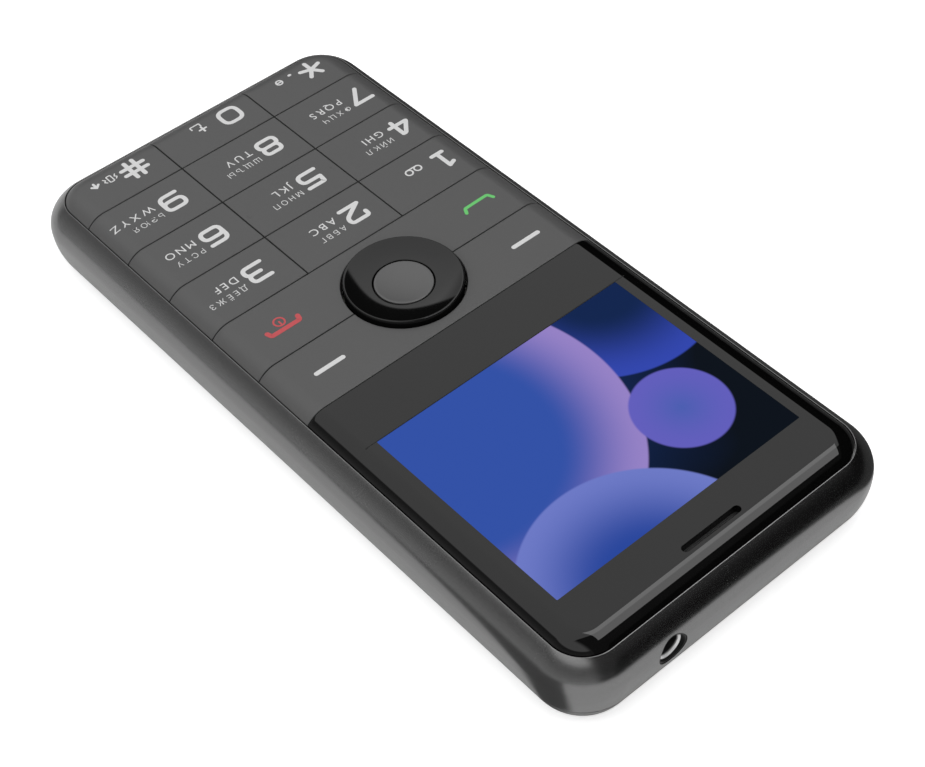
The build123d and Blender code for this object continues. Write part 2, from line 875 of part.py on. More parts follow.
def phone():
    """Every piece of the phone, by its node's name."""
    pieces = {
        "front_housing": front_housing(),
        "display_window": display_window(),
        "earpiece_mesh": earpiece_mesh(),
        "earpiece_receiver": earpiece_receiver(),
        "display_gasket": display_gasket(),
        "lcd_panel": lcd_panel(),
        "backlight_unit": backlight_unit(),
        "lcd_tray": lcd_tray(),
        "navigation_ring": navigation_ring(),
        "navigation_pad": navigation_pad(),
        "centre_button": centre_button(),
        "soft_key_bar": function_bar("soft_key_bar"),
        "call_key_bar": function_bar("call_key_bar"),
        "keypad_web": keypad_web(),
        "dome_sheet": dome_sheet(),
        "main_board": main_board(),
        "radio_shield": shield_can(radio_shield_size, radio_place),
        "processor_shield": shield_can(processor_shield_size, processor_place),
        "sim_socket": card_socket(sim_size, sim_place),
        "memory_card_socket": card_socket(card_size, card_place),
        "battery_connector": connector_block(),
        "battery": battery(),
        "rear_chassis": rear_chassis(),
        "chassis_screws": chassis_screws(),
        "audio_jack": audio_jack(),
        "audio_jack_sleeve": audio_jack_sleeve(),
        "usb_shell": usb_shell(),
        "usb_tongue": usb_tongue(),
        "microphone": microphone(),
        "loudspeaker": loudspeaker(),
        "vibration_motor": vibration_motor(),
        "antenna_carrier": antenna_carrier(),
        "antenna_foil": antenna_foil(),
        "camera_module": camera_module(),
        "camera_window": camera_window(),
        "speaker_mesh": speaker_mesh(),
        "rear_cover": rear_cover(),
    }
    stems = key_stems()
    for name, spans in key_places().items():
        pieces[name] = key_cap(spans, stems[name])
    return pieces


os.makedirs("parts", exist_ok=True)
for node, piece in phone().items():
    export_step(piece, "parts/" + node + ".step")
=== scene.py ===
"""Looks for a bar-shaped mobile phone that lies on its back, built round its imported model."""
from __future__ import annotations

import logging
import math
from dataclasses import dataclass, field
from enum import Enum
from typing import Callable, Iterable, Sequence

import bmesh
import bpy
from mathutils import Matrix, Vector


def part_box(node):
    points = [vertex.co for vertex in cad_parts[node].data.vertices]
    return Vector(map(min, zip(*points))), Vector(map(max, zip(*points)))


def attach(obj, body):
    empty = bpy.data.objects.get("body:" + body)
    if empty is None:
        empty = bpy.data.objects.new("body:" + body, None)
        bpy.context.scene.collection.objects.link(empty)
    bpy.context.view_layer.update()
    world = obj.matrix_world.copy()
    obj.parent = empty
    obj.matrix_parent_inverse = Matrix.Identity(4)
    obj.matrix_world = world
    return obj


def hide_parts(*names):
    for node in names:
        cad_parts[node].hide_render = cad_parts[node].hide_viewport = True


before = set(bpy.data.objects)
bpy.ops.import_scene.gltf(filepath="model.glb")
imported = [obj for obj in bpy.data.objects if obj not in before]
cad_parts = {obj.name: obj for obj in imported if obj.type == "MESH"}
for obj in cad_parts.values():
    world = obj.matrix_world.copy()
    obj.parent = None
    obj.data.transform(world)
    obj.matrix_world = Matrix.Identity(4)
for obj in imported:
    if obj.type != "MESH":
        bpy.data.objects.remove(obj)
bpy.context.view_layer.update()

logging.basicConfig(level=logging.INFO, format="%(message)s")
log = logging.getLogger("phone")

MM = 0.001
Point = tuple[float, float]
Height = Callable[[float, float], float]


# Shader maths


class Signal:
    """A node's output socket that takes part in Python arithmetic."""

    def __init__(self, graph: Graph, socket: bpy.types.NodeSocket) -> None:
        """Keep the graph and the socket.

        Args:
            graph: The material's graph that new nodes go into.
            socket: The output socket that carries the value.
        """
        self.graph = graph
        self.socket = socket

    def _join(self, operation: str, first: Signal | float, second: Signal | float) -> Signal:
        """Add one Math node for an operation on two values."""
        return self.graph.node("ShaderNodeMath", {"operation": operation}, {0: first, 1: second})

    def __add__(self, other: Signal | float) -> Signal:
        """self + other"""
        return self._join("ADD", self, other)

    def __radd__(self, other: float) -> Signal:
        """other + self"""
        return self._join("ADD", other, self)

    def __sub__(self, other: Signal | float) -> Signal:
        """self - other"""
        return self._join("SUBTRACT", self, other)

    def __rsub__(self, other: float) -> Signal:
        """other - self"""
        return self._join("SUBTRACT", other, self)

    def __mul__(self, other: Signal | float) -> Signal:
        """self * other"""
        return self._join("MULTIPLY", self, other)

    def __rmul__(self, other: float) -> Signal:
        """other * self"""
        return self._join("MULTIPLY", other, self)

    def __truediv__(self, other: Signal | float) -> Signal:
        """self / other"""
        return self._join("DIVIDE", self, other)

    def __pow__(self, other: Signal | float) -> Signal:
        """self ** other"""
        return self._join("POWER", self, other)

    def __gt__(self, other: Signal | float) -> Signal:
        """1 where self is above other, else 0."""
        return self._join("GREATER_THAN", self, other)

    def __abs__(self) -> Signal:
        """The value without its sign."""
        return self.graph.node("ShaderNodeMath", {"operation": "ABSOLUTE"}, {0: self})

    def sine(self) -> Signal:
        """The sine of the value."""
        return self.graph.node("ShaderNodeMath", {"operation": "SINE"}, {0: self})

    def smooth(self, low: float, high: float) -> Signal:
        """Rise smoothly from 0 at low to 1 at high."""
        values = {"Value": self, "From Min": low, "From Max": high}
        return self.graph.node("ShaderNodeMapRange", {"interpolation_type": "SMOOTHSTEP"}, values)


class Graph:
    """The node graph of one material or world."""

    def __init__(self, tree: bpy.types.NodeTree) -> None:
        """Empty the tree and keep it.

        Args:
            tree: The node tree to fill.
        """
        self.tree = tree
        tree.nodes.clear()

    def node(
        self,
        kind: str,
        settings: dict[str, object] | None = None,
        values: dict[int | str, object] | None = None,
        output: int | str = 0,
    ) -> Signal:
        """Add any node.

        Args:
            kind: The node's type.
            settings: Its properties, which are set first; "stops" fills a colour ramp.
            values: What goes into its sockets, as links or plain values.
            output: The output socket to return.

        Returns:
            The chosen output as a signal.
        """
        made = self.tree.nodes.new(kind)
        for name, value in (settings or {}).items():
            if name == "stops":
                self._fill_ramp(made.color_ramp, value)
            else:
                setattr(made, name, value)
        for name, value in (values or {}).items():
            socket = made.inputs[name]
            if isinstance(value, Signal):
                self.tree.links.new(value.socket, socket)
            else:
                socket.default_value = value
        return Signal(self, made.outputs[output])

    @staticmethod
    def _fill_ramp(ramp: bpy.types.ColorRamp, stops: Sequence[tuple[float, Sequence[float]]]) -> None:
        """Put the stops, each a place and a colour, on a colour ramp.

        Args:
            ramp: The colour ramp.
            stops: The stops in rising order.
        """
        while len(ramp.elements) < len(stops):
            ramp.elements.new(1.0)
        for element, (place, colour) in zip(ramp.elements, stops):
            element.position = place
            element.color = (*colour, 1.0)

    def ramp(self, value: Signal, stops: Sequence[tuple[float, Sequence[float]]]) -> Signal:
        """Turn a value into a colour by a list of stops."""
        return self.node("ShaderNodeValToRGB", {"stops": stops}, {"Fac": value})

    def blend(self, factor: Signal | float, first: object, second: object) -> Signal:
        """Mix two colours."""
        settings = {"data_type": "RGBA", "blend_type": "MIX"}
        return self.node("ShaderNodeMix", settings, {0: factor, 6: first, 7: second}, 2)

    def place(self) -> Signal:
        """The point's place in the phone's frame, in metres."""
        return self.node("ShaderNodeTexCoord", output="Object")

    def axes(self) -> tuple[Signal, Signal, Signal]:
        """The point's x, y and z in the phone's frame, in metres.

        Returns:
            The three coordinates.
        """
        split = self.tree.nodes.new("ShaderNodeSeparateXYZ")
        self.tree.links.new(self.place().socket, split.inputs[0])
        return tuple(Signal(self, socket) for socket in split.outputs)

    def stretched(self, scale: Sequence[float]) -> Signal:
        """The point's place, scaled along each axis."""
        return self.node("ShaderNodeMapping", None, {"Vector": self.place(), "Scale": scale})

    def noise(self, size: float, detail: float = 2.0, vector: Signal | None = None) -> Signal:
        """Soft noise whose blots are about as large as the size, in metres."""
        values = {"Vector": vector or self.place(), "Scale": 1 / size, "Detail": detail}
        return self.node("ShaderNodeTexNoise", None, values)

    def bump(self, height: Signal, depth: float, strength: float = 1.0) -> Signal:
        """A normal from a height between 0 and 1 and its depth in metres."""
        values = {"Height": height, "Distance": depth, "Strength": strength}
        return self.node("ShaderNodeBump", None, values, "Normal")

    def principled(self, **values: object) -> Signal:
        """Add the surface shader, with its sockets given by name with _ for a space."""
        named = {name.replace("_", " "): value for name, value in values.items()}
        return self.node("ShaderNodeBsdfPrincipled", None, named)

    def surface(self, shader: Signal) -> None:
        """Send a shader to the material's surface."""
        end = self.tree.nodes.new("ShaderNodeOutputMaterial")
        self.tree.links.new(shader.socket, end.inputs["Surface"])


def grey(level: float) -> tuple[float, float, float, float]:
    """A neutral colour."""
    return (level, level, level, 1.0)


def tint(red: float, green: float, blue: float) -> tuple[float, float, float, float]:
    """A colour with full opacity."""
    return (red, green, blue, 1.0)


# Finishes


@dataclass(frozen=True)
class Finish:
    """A named finish that makes its material once."""

    name: str

    def material(self) -> bpy.types.Material:
        """Return the finish's material, and make it first if it isn't there.

        Returns:
            The material with its node graph.
        """
        known = bpy.data.materials.get(self.name)
        if known:
            return known
        made = bpy.data.materials.new(self.name)
        made.use_nodes = True
        self.fill(Graph(made.node_tree))
        return made

    def fill(self, graph: Graph) -> None:
        """Build the node graph; each kind of finish has its own."""
        raise NotImplementedError


@dataclass(frozen=True)
class Moulded(Finish):
    """Moulded plastic or rubber with a fine spark-eroded grain and soft mottling."""

    colour: tuple[float, float, float, float] = grey(0.05)
    roughness: float = 0.5
    grain: float = 0.12 * MM
    depth: float = 0.004 * MM
    mottling: float = 0.12
    metallic: float = 0.0
    coat: float = 0.0

    def fill(self, graph: Graph) -> None:
        """Mottle the colour, vary the roughness and bump the grain.

        Args:
            graph: The material's graph.
        """
        cloud = graph.noise(6 * MM, 3.0)
        grain = graph.noise(self.grain, 2.0)
        dark = tuple(part * (1 - self.mottling) for part in self.colour[:3]) + (1.0,)
        light = tuple(min(1.0, part * (1 + self.mottling)) for part in self.colour[:3]) + (1.0,)
        graph.surface(
            graph.principled(
                Base_Color=graph.blend(cloud, dark, light),
                Roughness=self.roughness + (grain - 0.5) * 0.08 + (cloud - 0.5) * 0.06,
                Metallic=self.metallic,
                Coat_Weight=self.coat,
                Coat_Roughness=0.08,
                Normal=graph.bump(grain, self.depth),
            )
        )


@dataclass(frozen=True)
class Lacquer(Finish):
    """Dark metal-effect lacquer: small flakes under a satin top coat."""

    colour: tuple[float, float, float, float] = grey(0.24)
    metallic: float = 1.0
    roughness: float = 0.24
    flake: float = 0.07 * MM
    spread: float = 0.1
    grain: float = 0.0003 * MM

    def fill(self, graph: Graph) -> None:
        """Scatter the flakes and let the satin coat wander a little.

        Args:
            graph: The material's graph.
        """
        flakes = graph.node("ShaderNodeTexVoronoi", None, {"Vector": graph.place(), "Scale": 1 / self.flake},
                            "Color")
        sparkle = graph.node("ShaderNodeSeparateColor", None, {0: flakes})
        cloud = graph.noise(9 * MM, 3.0)
        dim = tuple(part * (1 - self.spread) for part in self.colour[:3]) + (1.0,)
        bright = tuple(part * (1 + self.spread) for part in self.colour[:3]) + (1.0,)
        graph.surface(
            graph.principled(
                Base_Color=graph.blend(sparkle, dim, bright),
                Metallic=self.metallic,
                Roughness=self.roughness + (sparkle - 0.5) * 0.06 + (cloud - 0.5) * 0.04,
                Normal=graph.bump(sparkle, self.grain),
            )
        )


@dataclass(frozen=True)
class Metal(Finish):
    """Bare sheet or plated metal, with drawing lines along one axis."""

    colour: tuple[float, float, float, float] = grey(0.6)
    roughness: float = 0.3
    lines: tuple[float, float, float] = (1.0, 12.0, 1.0)

    def fill(self, graph: Graph) -> None:
        """Stretch noise into drawing lines for roughness and bump.

        Args:
            graph: The material's graph.
        """
        lines = graph.noise(0.8 * MM, 3.0, graph.stretched(self.lines))
        stain = graph.noise(4 * MM, 2.0)
        dull = tuple(part * 0.82 for part in self.colour[:3]) + (1.0,)
        graph.surface(
            graph.principled(
                Base_Color=graph.blend(stain, dull, self.colour),
                Metallic=1.0,
                Roughness=self.roughness + (lines - 0.5) * 0.2,
                Normal=graph.bump(lines, 0.003 * MM),
            )
        )


@dataclass(frozen=True)
class Clear(Finish):
    """Clear acrylic or glass."""

    roughness: float = 0.015
    index: float = 1.49

    def fill(self, graph: Graph) -> None:
        """Let light through, with faint fingerprints in the roughness.

        Args:
            graph: The material's graph.
        """
        smear = graph.noise(7 * MM, 4.0)
        graph.surface(
            graph.principled(
                Base_Color=grey(0.98),
                Roughness=self.roughness + smear * 0.015,
                Transmission_Weight=1.0,
                IOR=self.index,
            )
        )


@dataclass(frozen=True)
class Gloss(Finish):
    """Polished glass over a black backing, with faint smears."""

    colour: tuple[float, float, float, float] = grey(0.0015)
    roughness: float = 0.02
    smear: float = 0.03

    def fill(self, graph: Graph) -> None:
        """Let a few soft smears dull the polish.

        Args:
            graph: The material's graph.
        """
        smears = graph.noise(8 * MM, 4.0, graph.stretched((1.0, 0.4, 1.0)))
        dust = graph.noise(0.25 * MM, 1.0)
        graph.surface(
            graph.principled(
                Base_Color=graph.blend(dust, self.colour, grey(0.003)),
                Roughness=self.roughness + smears.smooth(0.55, 0.8) * self.smear,
                IOR=1.5,
            )
        )


GROUND: tuple[tuple[float, tuple[float, float, float]], ...] = (
    (0.20, (0.0005, 0.003, 0.008)),
    (0.50, (0.003, 0.016, 0.075)),
    (0.90, (0.012, 0.034, 0.230)),
)
"""The display's ground, from its dark corner to its light one."""

DISCS: tuple[tuple[Point, float, tuple[float, ...], tuple[float, ...]], ...] = (
    ((-0.55, -0.55), 0.52, (0.030, 0.060, 0.420), (0.003, 0.016, 0.075)),
    ((0.50, -0.30), 0.80, (0.300, 0.220, 0.560), (0.030, 0.080, 0.380)),
    ((0.30, 0.68), 0.52, (0.150, 0.190, 0.560), (0.020, 0.060, 0.330)),
    ((-0.34, 0.16), 0.21, (0.120, 0.110, 0.500), (0.045, 0.110, 0.410)),
)
"""Each disc: middle and radius in display heights, and its colours at the rim and in the heart."""


@dataclass(frozen=True)
class Picture(Finish):
    """The lit display: a made-up pattern of soft overlapping discs."""

    centre: Point = (0.0, 32.71 * MM)
    height: float = 35.9 * MM
    glow: float = 1.0
    edge: float = 0.012
    fade: float = 0.34

    def fill(self, graph: Graph) -> None:
        """Fade the ground from corner to corner, then lay the discs on it, each over the last.

        Args:
            graph: The material's graph.
        """
        x, y, _ = graph.axes()
        across = (x - self.centre[0]) / self.height
        along = (y - self.centre[1]) / self.height
        drift = graph.noise(20 * MM, 1.0)
        colours = graph.ramp(across * 0.5 - along * 0.4 + 0.5 + (drift - 0.5) * 0.3, GROUND)
        for middle, radius, rim, heart in DISCS:
            side, rise = across - middle[0], along - middle[1]
            depth = radius - (side * side + rise * rise) ** 0.5
            body = graph.blend(depth.smooth(0.0, self.fade), (*rim, 1.0), (*heart, 1.0))
            colours = graph.blend(depth.smooth(0.0, self.edge), colours, body)
        graph.surface(
            graph.principled(
                Base_Color=grey(0.002),
                Roughness=0.03,
                Specular_IOR_Level=0.02,
                Emission_Color=colours,
                Emission_Strength=self.glow,
            )
        )


@dataclass(frozen=True)
class Board(Finish):
    """Circuit board: green resist over copper tracks, with small pads."""

    resist: tuple[float, float, float, float] = tint(0.006, 0.07, 0.03)
    track: tuple[float, float, float, float] = tint(0.02, 0.13, 0.05)

    def fill(self, graph: Graph) -> None:
        """Draw tracks from cell borders and tin pads from a second set of cells.

        Args:
            graph: The material's graph.
        """
        cells = graph.node("ShaderNodeTexVoronoi", {"feature": "DISTANCE_TO_EDGE"},
                           {"Vector": graph.stretched((1.0, 0.5, 1.0)), "Scale": 1 / (1.6 * MM)})
        tracks = 1 - cells.smooth(0.03, 0.06)
        spots = graph.node("ShaderNodeTexVoronoi", None, {"Vector": graph.place(), "Scale": 1 / (1.3 * MM)})
        pads = 1 - spots.smooth(0.16, 0.2)
        coloured = graph.blend(tracks, self.resist, self.track)
        graph.surface(
            graph.principled(
                Base_Color=graph.blend(pads, coloured, grey(0.55)),
                Metallic=pads * 0.9,
                Roughness=0.35 - pads * 0.1,
                Normal=graph.bump(tracks, 0.02 * MM),
            )
        )


@dataclass(frozen=True)
class Woven(Finish):
    """A fine mesh of crossed wires or threads."""

    colour: tuple[float, float, float, float] = grey(0.05)
    pitch: float = 0.22 * MM
    metallic: float = 0.8

    def fill(self, graph: Graph) -> None:
        """Cross two sines into wires, with painted shade in the holes between them.

        Args:
            graph: The material's graph.
        """
        x, y, _ = graph.axes()
        turn = 2 * math.pi / self.pitch
        wires = ((x * turn).sine() * 0.5 + 0.5) * ((y * turn).sine() * 0.5 + 0.5)
        # Painted shade: the holes between the wires are near black.
        graph.surface(
            graph.principled(
                Base_Color=graph.blend(wires.smooth(0.2, 0.5), self.colour, grey(0.004)),
                Metallic=self.metallic,
                Roughness=0.4,
                Normal=graph.bump(1 - wires, 0.05 * MM),
            )
        )


@dataclass(frozen=True)
class Printed(Finish):
    """Printed ink, slightly uneven where the pad laid it down."""

    colour: tuple[float, float, float, float] = grey(0.62)
    roughness: float = 0.45

    def fill(self, graph: Graph) -> None:
        """Thin the ink a little in places.

        Args:
            graph: The material's graph.
        """
        patchy = graph.noise(0.5 * MM, 3.0)
        thin = tuple(part * 0.9 for part in self.colour[:3]) + (1.0,)
        graph.surface(
            graph.principled(
                Base_Color=graph.blend(patchy, thin, self.colour),
                Roughness=self.roughness + (patchy - 0.5) * 0.1,
            )
        )


@dataclass(frozen=True)
class PaintedShadeBore(Finish):
    """A plated sleeve, bright at its mouth, with painted shade that darkens it deep inside."""

    # The mouth is where the painted shade ends; fade is how far it takes to set in.
    mouth: float = 61.85 * MM
    fade: float = 0.4 * MM

    def fill(self, graph: Graph) -> None:
        """Fade the plating into painted shade along the bore, with fine turning marks.

        Args:
            graph: The material's graph.
        """
        _, y, _ = graph.axes()
        marks = graph.noise(0.3 * MM, 2.0, graph.stretched((0.2, 6.0, 0.2)))
        # Painted shade: the colour falls from bright plating at the mouth to near black deep inside.
        near = y.smooth(self.mouth - self.fade, self.mouth)
        graph.surface(
            graph.principled(
                Base_Color=graph.blend(near, grey(0.02), grey(0.95)),
                Metallic=0.3,
                Roughness=0.3 + (marks - 0.5) * 0.1,
                Normal=graph.bump(marks, 0.002 * MM),
            )
        )


class Look(Enum):
    """The phone's finishes, by what they are on."""

    HOUSING = Lacquer("gunmetal_lacquer")
    COVER = Lacquer("cover_lacquer", grey(0.22), 0.9, 0.32)
    KEYS = Moulded("satin_keys", grey(0.085), 0.42, 0.10 * MM, 0.003 * MM, 0.04)
    RING = Moulded("black_ring", grey(0.004), 0.08, 0.10 * MM, 0.0002 * MM, 0.1)
    BUTTON = Moulded("grey_button", grey(0.13), 0.33, 0.10 * MM, 0.001 * MM, 0.05, 0.6)
    GLASS = Gloss("black_glass")
    PICTURE = Picture("lit_display")
    BLACK = Moulded("black_plastic", grey(0.02), 0.5)
    WHITE = Moulded("white_plastic", grey(0.75), 0.45, 0.2 * MM, 0.004 * MM, 0.04)
    RUBBER = Moulded("grey_rubber", grey(0.2), 0.7, 0.2 * MM, 0.01 * MM)
    FOAM = Moulded("black_foam", grey(0.015), 0.9, 0.15 * MM, 0.04 * MM)
    FILM = Moulded("dome_film", tint(0.5, 0.5, 0.46), 0.3, 0.3 * MM, 0.002 * MM, 0.08, 0.3)
    STEEL = Metal("tinned_steel")
    SCREW = Metal("zinc_screws", grey(0.5), 0.35, (1.0, 1.0, 8.0))
    NICKEL = Metal("nickel_plate", tint(0.72, 0.7, 0.66), 0.18, (8.0, 1.0, 8.0))
    GOLD = Metal("gilt_foil", tint(0.85, 0.58, 0.3), 0.3)
    WRAP = Moulded("battery_wrap", grey(0.42), 0.35, 0.4 * MM, 0.002 * MM, 0.05, 0.5)
    BOARD = Board("green_board")
    MESH = Woven("steel_mesh")
    CLOTH = Woven("speaker_cloth", grey(0.03), 0.3 * MM, 0.0)
    LENS = Clear("camera_lens", 0.01, 1.52)
    WHITE_INK = Printed("white_ink", grey(0.74))
    BLACK_INK = Printed("black_ink", grey(0.002), 0.6)
    GREEN_INK = Printed("green_ink", tint(0.15, 0.62, 0.17))
    RED_INK = Printed("red_ink", tint(0.58, 0.08, 0.09))
    NOSE = Moulded("jack_nose", grey(0.004), 0.5)
    SLEEVE = PaintedShadeBore("sleeve_with_painted_shade")


NODE_LOOKS: dict[str, Look] = {
    "earpiece_mesh": Look.MESH,
    "earpiece_receiver": Look.CLOTH,
    "display_gasket": Look.FOAM,
    "lcd_panel": Look.BLACK,
    "backlight_unit": Look.WHITE,
    "lcd_tray": Look.STEEL,
    "navigation_pad": Look.RUBBER,
    "keypad_web": Look.RUBBER,
    "dome_sheet": Look.FILM,
    "main_board": Look.BOARD,
    "radio_shield": Look.STEEL,
    "processor_shield": Look.STEEL,
    "sim_socket": Look.STEEL,
    "memory_card_socket": Look.STEEL,
    "battery_connector": Look.BLACK,
    "battery": Look.WRAP,
    "rear_chassis": Look.BLACK,
    "audio_jack": Look.BLACK,
    "usb_shell": Look.NICKEL,
    "usb_tongue": Look.BLACK,
    "microphone": Look.STEEL,
    "loudspeaker": Look.CLOTH,
    "vibration_motor": Look.STEEL,
    "antenna_carrier": Look.BLACK,
    "antenna_foil": Look.GOLD,
    "camera_module": Look.BLACK,
    "camera_window": Look.LENS,
    "speaker_mesh": Look.MESH,
}


# Meshes


def object_from(name: str, mesh: bmesh.types.BMesh) -> bpy.types.Object:
    """Put a finished mesh into the scene as an object.

    Args:
        name: The object's name.
        mesh: The mesh, which is freed.

    Returns:
        The new object.
    """
    bmesh.ops.recalc_face_normals(mesh, faces=mesh.faces[:])
    data = bpy.data.meshes.new(name)
    mesh.to_mesh(data)
    mesh.free()
    made = bpy.data.objects.new(name, data)
    bpy.context.scene.collection.objects.link(made)
    return made


def stacked(rings: Sequence[Sequence[Vector]]) -> bmesh.types.BMesh:
    """Join rings of equal length, one above another, into a closed solid with flat ends.

    Args:
        rings: The rings, from the lowest up.

    Returns:
        The solid.
    """
    mesh = bmesh.new()
    rows = [[mesh.verts.new(point) for point in ring] for ring in rings]
    count = len(rows[0])
    for low, high in zip(rows, rows[1:]):
        for i in range(count):
            j = (i + 1) % count
            mesh.faces.new((low[i], low[j], high[j], high[i]))
    mesh.faces.new(rows[0][::-1])
    mesh.faces.new(rows[-1])
    return mesh


def prism(outline: Sequence[Point], low: float, high: float) -> bmesh.types.BMesh:
    """An upright prism on a flat outline."""
    return stacked([[Vector((x, y, z)) for x, y in outline] for z in (low, high)])


def circle(radius: float, centre: Point = (0.0, 0.0), steps: int = 128) -> list[Point]:
    """The points of a circle."""
    turns = [2 * math.pi * step / steps for step in range(steps)]
    return [(centre[0] + radius * math.cos(turn), centre[1] + radius * math.sin(turn)) for turn in turns]


def rounded_box(half_x: float, half_y: float, radius: float, centre: Point = (0.0, 0.0),
                steps: int = 10) -> list[Point]:
    """The outline of a rectangle with rounded corners.

    Args:
        half_x: Half its width.
        half_y: Half its length.
        radius: The corners' radius.
        centre: Its middle.
        steps: How many pieces each corner has.

    Returns:
        The outline's points, counter to the clock from the right.
    """
    outline = []
    for start, side_x, side_y in ((0, 1, 1), (90, -1, 1), (180, -1, -1), (270, 1, -1)):
        for step in range(steps + 1):
            turn = math.radians(start + 90 * step / steps)
            x = side_x * (half_x - radius) + radius * math.cos(turn)
            y = side_y * (half_y - radius) + radius * math.sin(turn)
            outline.append((centre[0] + x, centre[1] + y))
    return outline


def turned(profile: Sequence[Point], centre: Point, steps: int = 160) -> bmesh.types.BMesh:
    """A solid of revolution about an upright axis, from a profile of radius and height.

    Args:
        profile: The profile's points.
        centre: The axis.
        steps: How many pieces the turn has.

    Returns:
        The solid.
    """
    mesh = bmesh.new()
    rows = []
    for radius, z in profile:
        if radius < 1e-9:
            rows.append([mesh.verts.new((centre[0], centre[1], z))])
        else:
            rows.append([mesh.verts.new((x, y, z)) for x, y in circle(radius, centre, steps)])
    for low, high in zip(rows, rows[1:] + rows[:1]):
        if len(low) == 1 and len(high) == 1:
            continue
        for i in range(steps):
            j = (i + 1) % steps
            corners = [low[i % len(low)], low[j % len(low)], high[j % len(high)], high[i % len(high)]]
            mesh.faces.new(list(dict.fromkeys(corners)))
    return mesh


def trim(mesh: bmesh.types.BMesh, point: Sequence[float], outward: Sequence[float]) -> bmesh.types.BMesh:
    """Cut off what lies beyond a plane, and close the cut.

    Args:
        mesh: A closed mesh, which changes.
        point: A point of the plane.
        outward: The direction of what goes.

    Returns:
        The same mesh.
    """
    whole = mesh.verts[:] + mesh.edges[:] + mesh.faces[:]
    cut = bmesh.ops.bisect_plane(mesh, geom=whole, plane_co=point, plane_no=outward, clear_outer=True)
    edges = [part for part in cut["geom_cut"] if isinstance(part, bmesh.types.BMEdge)]
    if edges:
        bmesh.ops.edgeloop_fill(mesh, edges=edges)
    bmesh.ops.recalc_face_normals(mesh, faces=mesh.faces[:])
    return mesh


def copy_into(mesh: bmesh.types.BMesh, extra: bmesh.types.BMesh) -> None:
    """Add a second mesh to a first, and free the second.

    Args:
        mesh: The mesh that grows.
        extra: The mesh that goes into it.
    """
    kept = bpy.data.meshes.new("extra")
    extra.to_mesh(kept)
    extra.free()
    mesh.from_mesh(kept)
    bpy.data.meshes.remove(kept)


def gathered(parts: Iterable[bmesh.types.BMesh]) -> bmesh.types.BMesh:
    """Put several meshes into one.

    Args:
        parts: The meshes, which are freed.

    Returns:
        The one mesh.
    """
    whole = bmesh.new()
    for part in parts:
        copy_into(whole, part)
    return whole


def carve(
    target: bpy.types.Object, cutters: Iterable[bmesh.types.BMesh], operation: str = "DIFFERENCE"
) -> None:
    """Cut closed meshes out of an object, or join or intersect them with it.

    Args:
        target: The object that changes.
        cutters: Closed meshes, which are used up.
        operation: DIFFERENCE, UNION or INTERSECT.
    """
    for cutter in cutters:
        tool = object_from("cutter", cutter)
        step = target.modifiers.new("carve", "BOOLEAN")
        step.operation = operation
        step.solver = "EXACT"
        step.object = tool
        graph = bpy.context.evaluated_depsgraph_get()
        old, made = target.data, bpy.data.meshes.new_from_object(target.evaluated_get(graph))
        target.modifiers.clear()
        target.data = made
        bpy.data.meshes.remove(old)
        bpy.data.objects.remove(tool)


def soften(
    mesh: bmesh.types.BMesh, width: float, above: float, angle: float = 50.0, segments: int = 3
) -> None:
    """Round the sharp edges that lie above a height.

    Args:
        mesh: The mesh that changes.
        width: How far the rounding reaches from an edge.
        above: The height over which edges are rounded.
        angle: The least angle between faces, in degrees, that counts as sharp.
        segments: The steps across the rounding.
    """
    mesh.normal_update()
    sharp = [
        edge
        for edge in mesh.edges
        if len(edge.link_faces) == 2
        and edge.calc_face_angle(0.0) > math.radians(angle)
        and all(vertex.co.z > above for vertex in edge.verts)
    ]
    bmesh.ops.bevel(mesh, geom=sharp, offset=width, segments=segments, profile=0.5, affect="EDGES",
                    clamp_overlap=True)


def polish(made: bpy.types.Object, angle: float = 32.0) -> None:
    """Shade an object smooth, except across sharp edges.

    Args:
        made: The object.
        angle: The angle in degrees above which an edge stays sharp.
    """
    for face in made.data.polygons:
        face.use_smooth = True
    made.data.set_sharp_from_angle(angle=math.radians(angle))
    weighted = made.modifiers.new("weighted", "WEIGHTED_NORMAL")
    weighted.keep_sharp = True


def dress(made: bpy.types.Object, look: Look) -> None:
    """Give an object one finish all over."""
    made.data.materials.clear()
    made.data.materials.append(look.value.material())


def place_piece(made: bpy.types.Object, look: Look, body: str, node: str | None = None) -> None:
    """Dress a new piece and tie it to its body and the node that it stands for.

    Args:
        made: The piece.
        look: Its finish.
        body: The body that it rides on.
        node: The CAD node that it replaces, if any.
    """
    dress(made, look)
    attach(made, body)
    if node:
        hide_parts(node)
    log.info("%s rides on %s with %d faces", made.name, body, len(made.data.polygons))


# The body's form


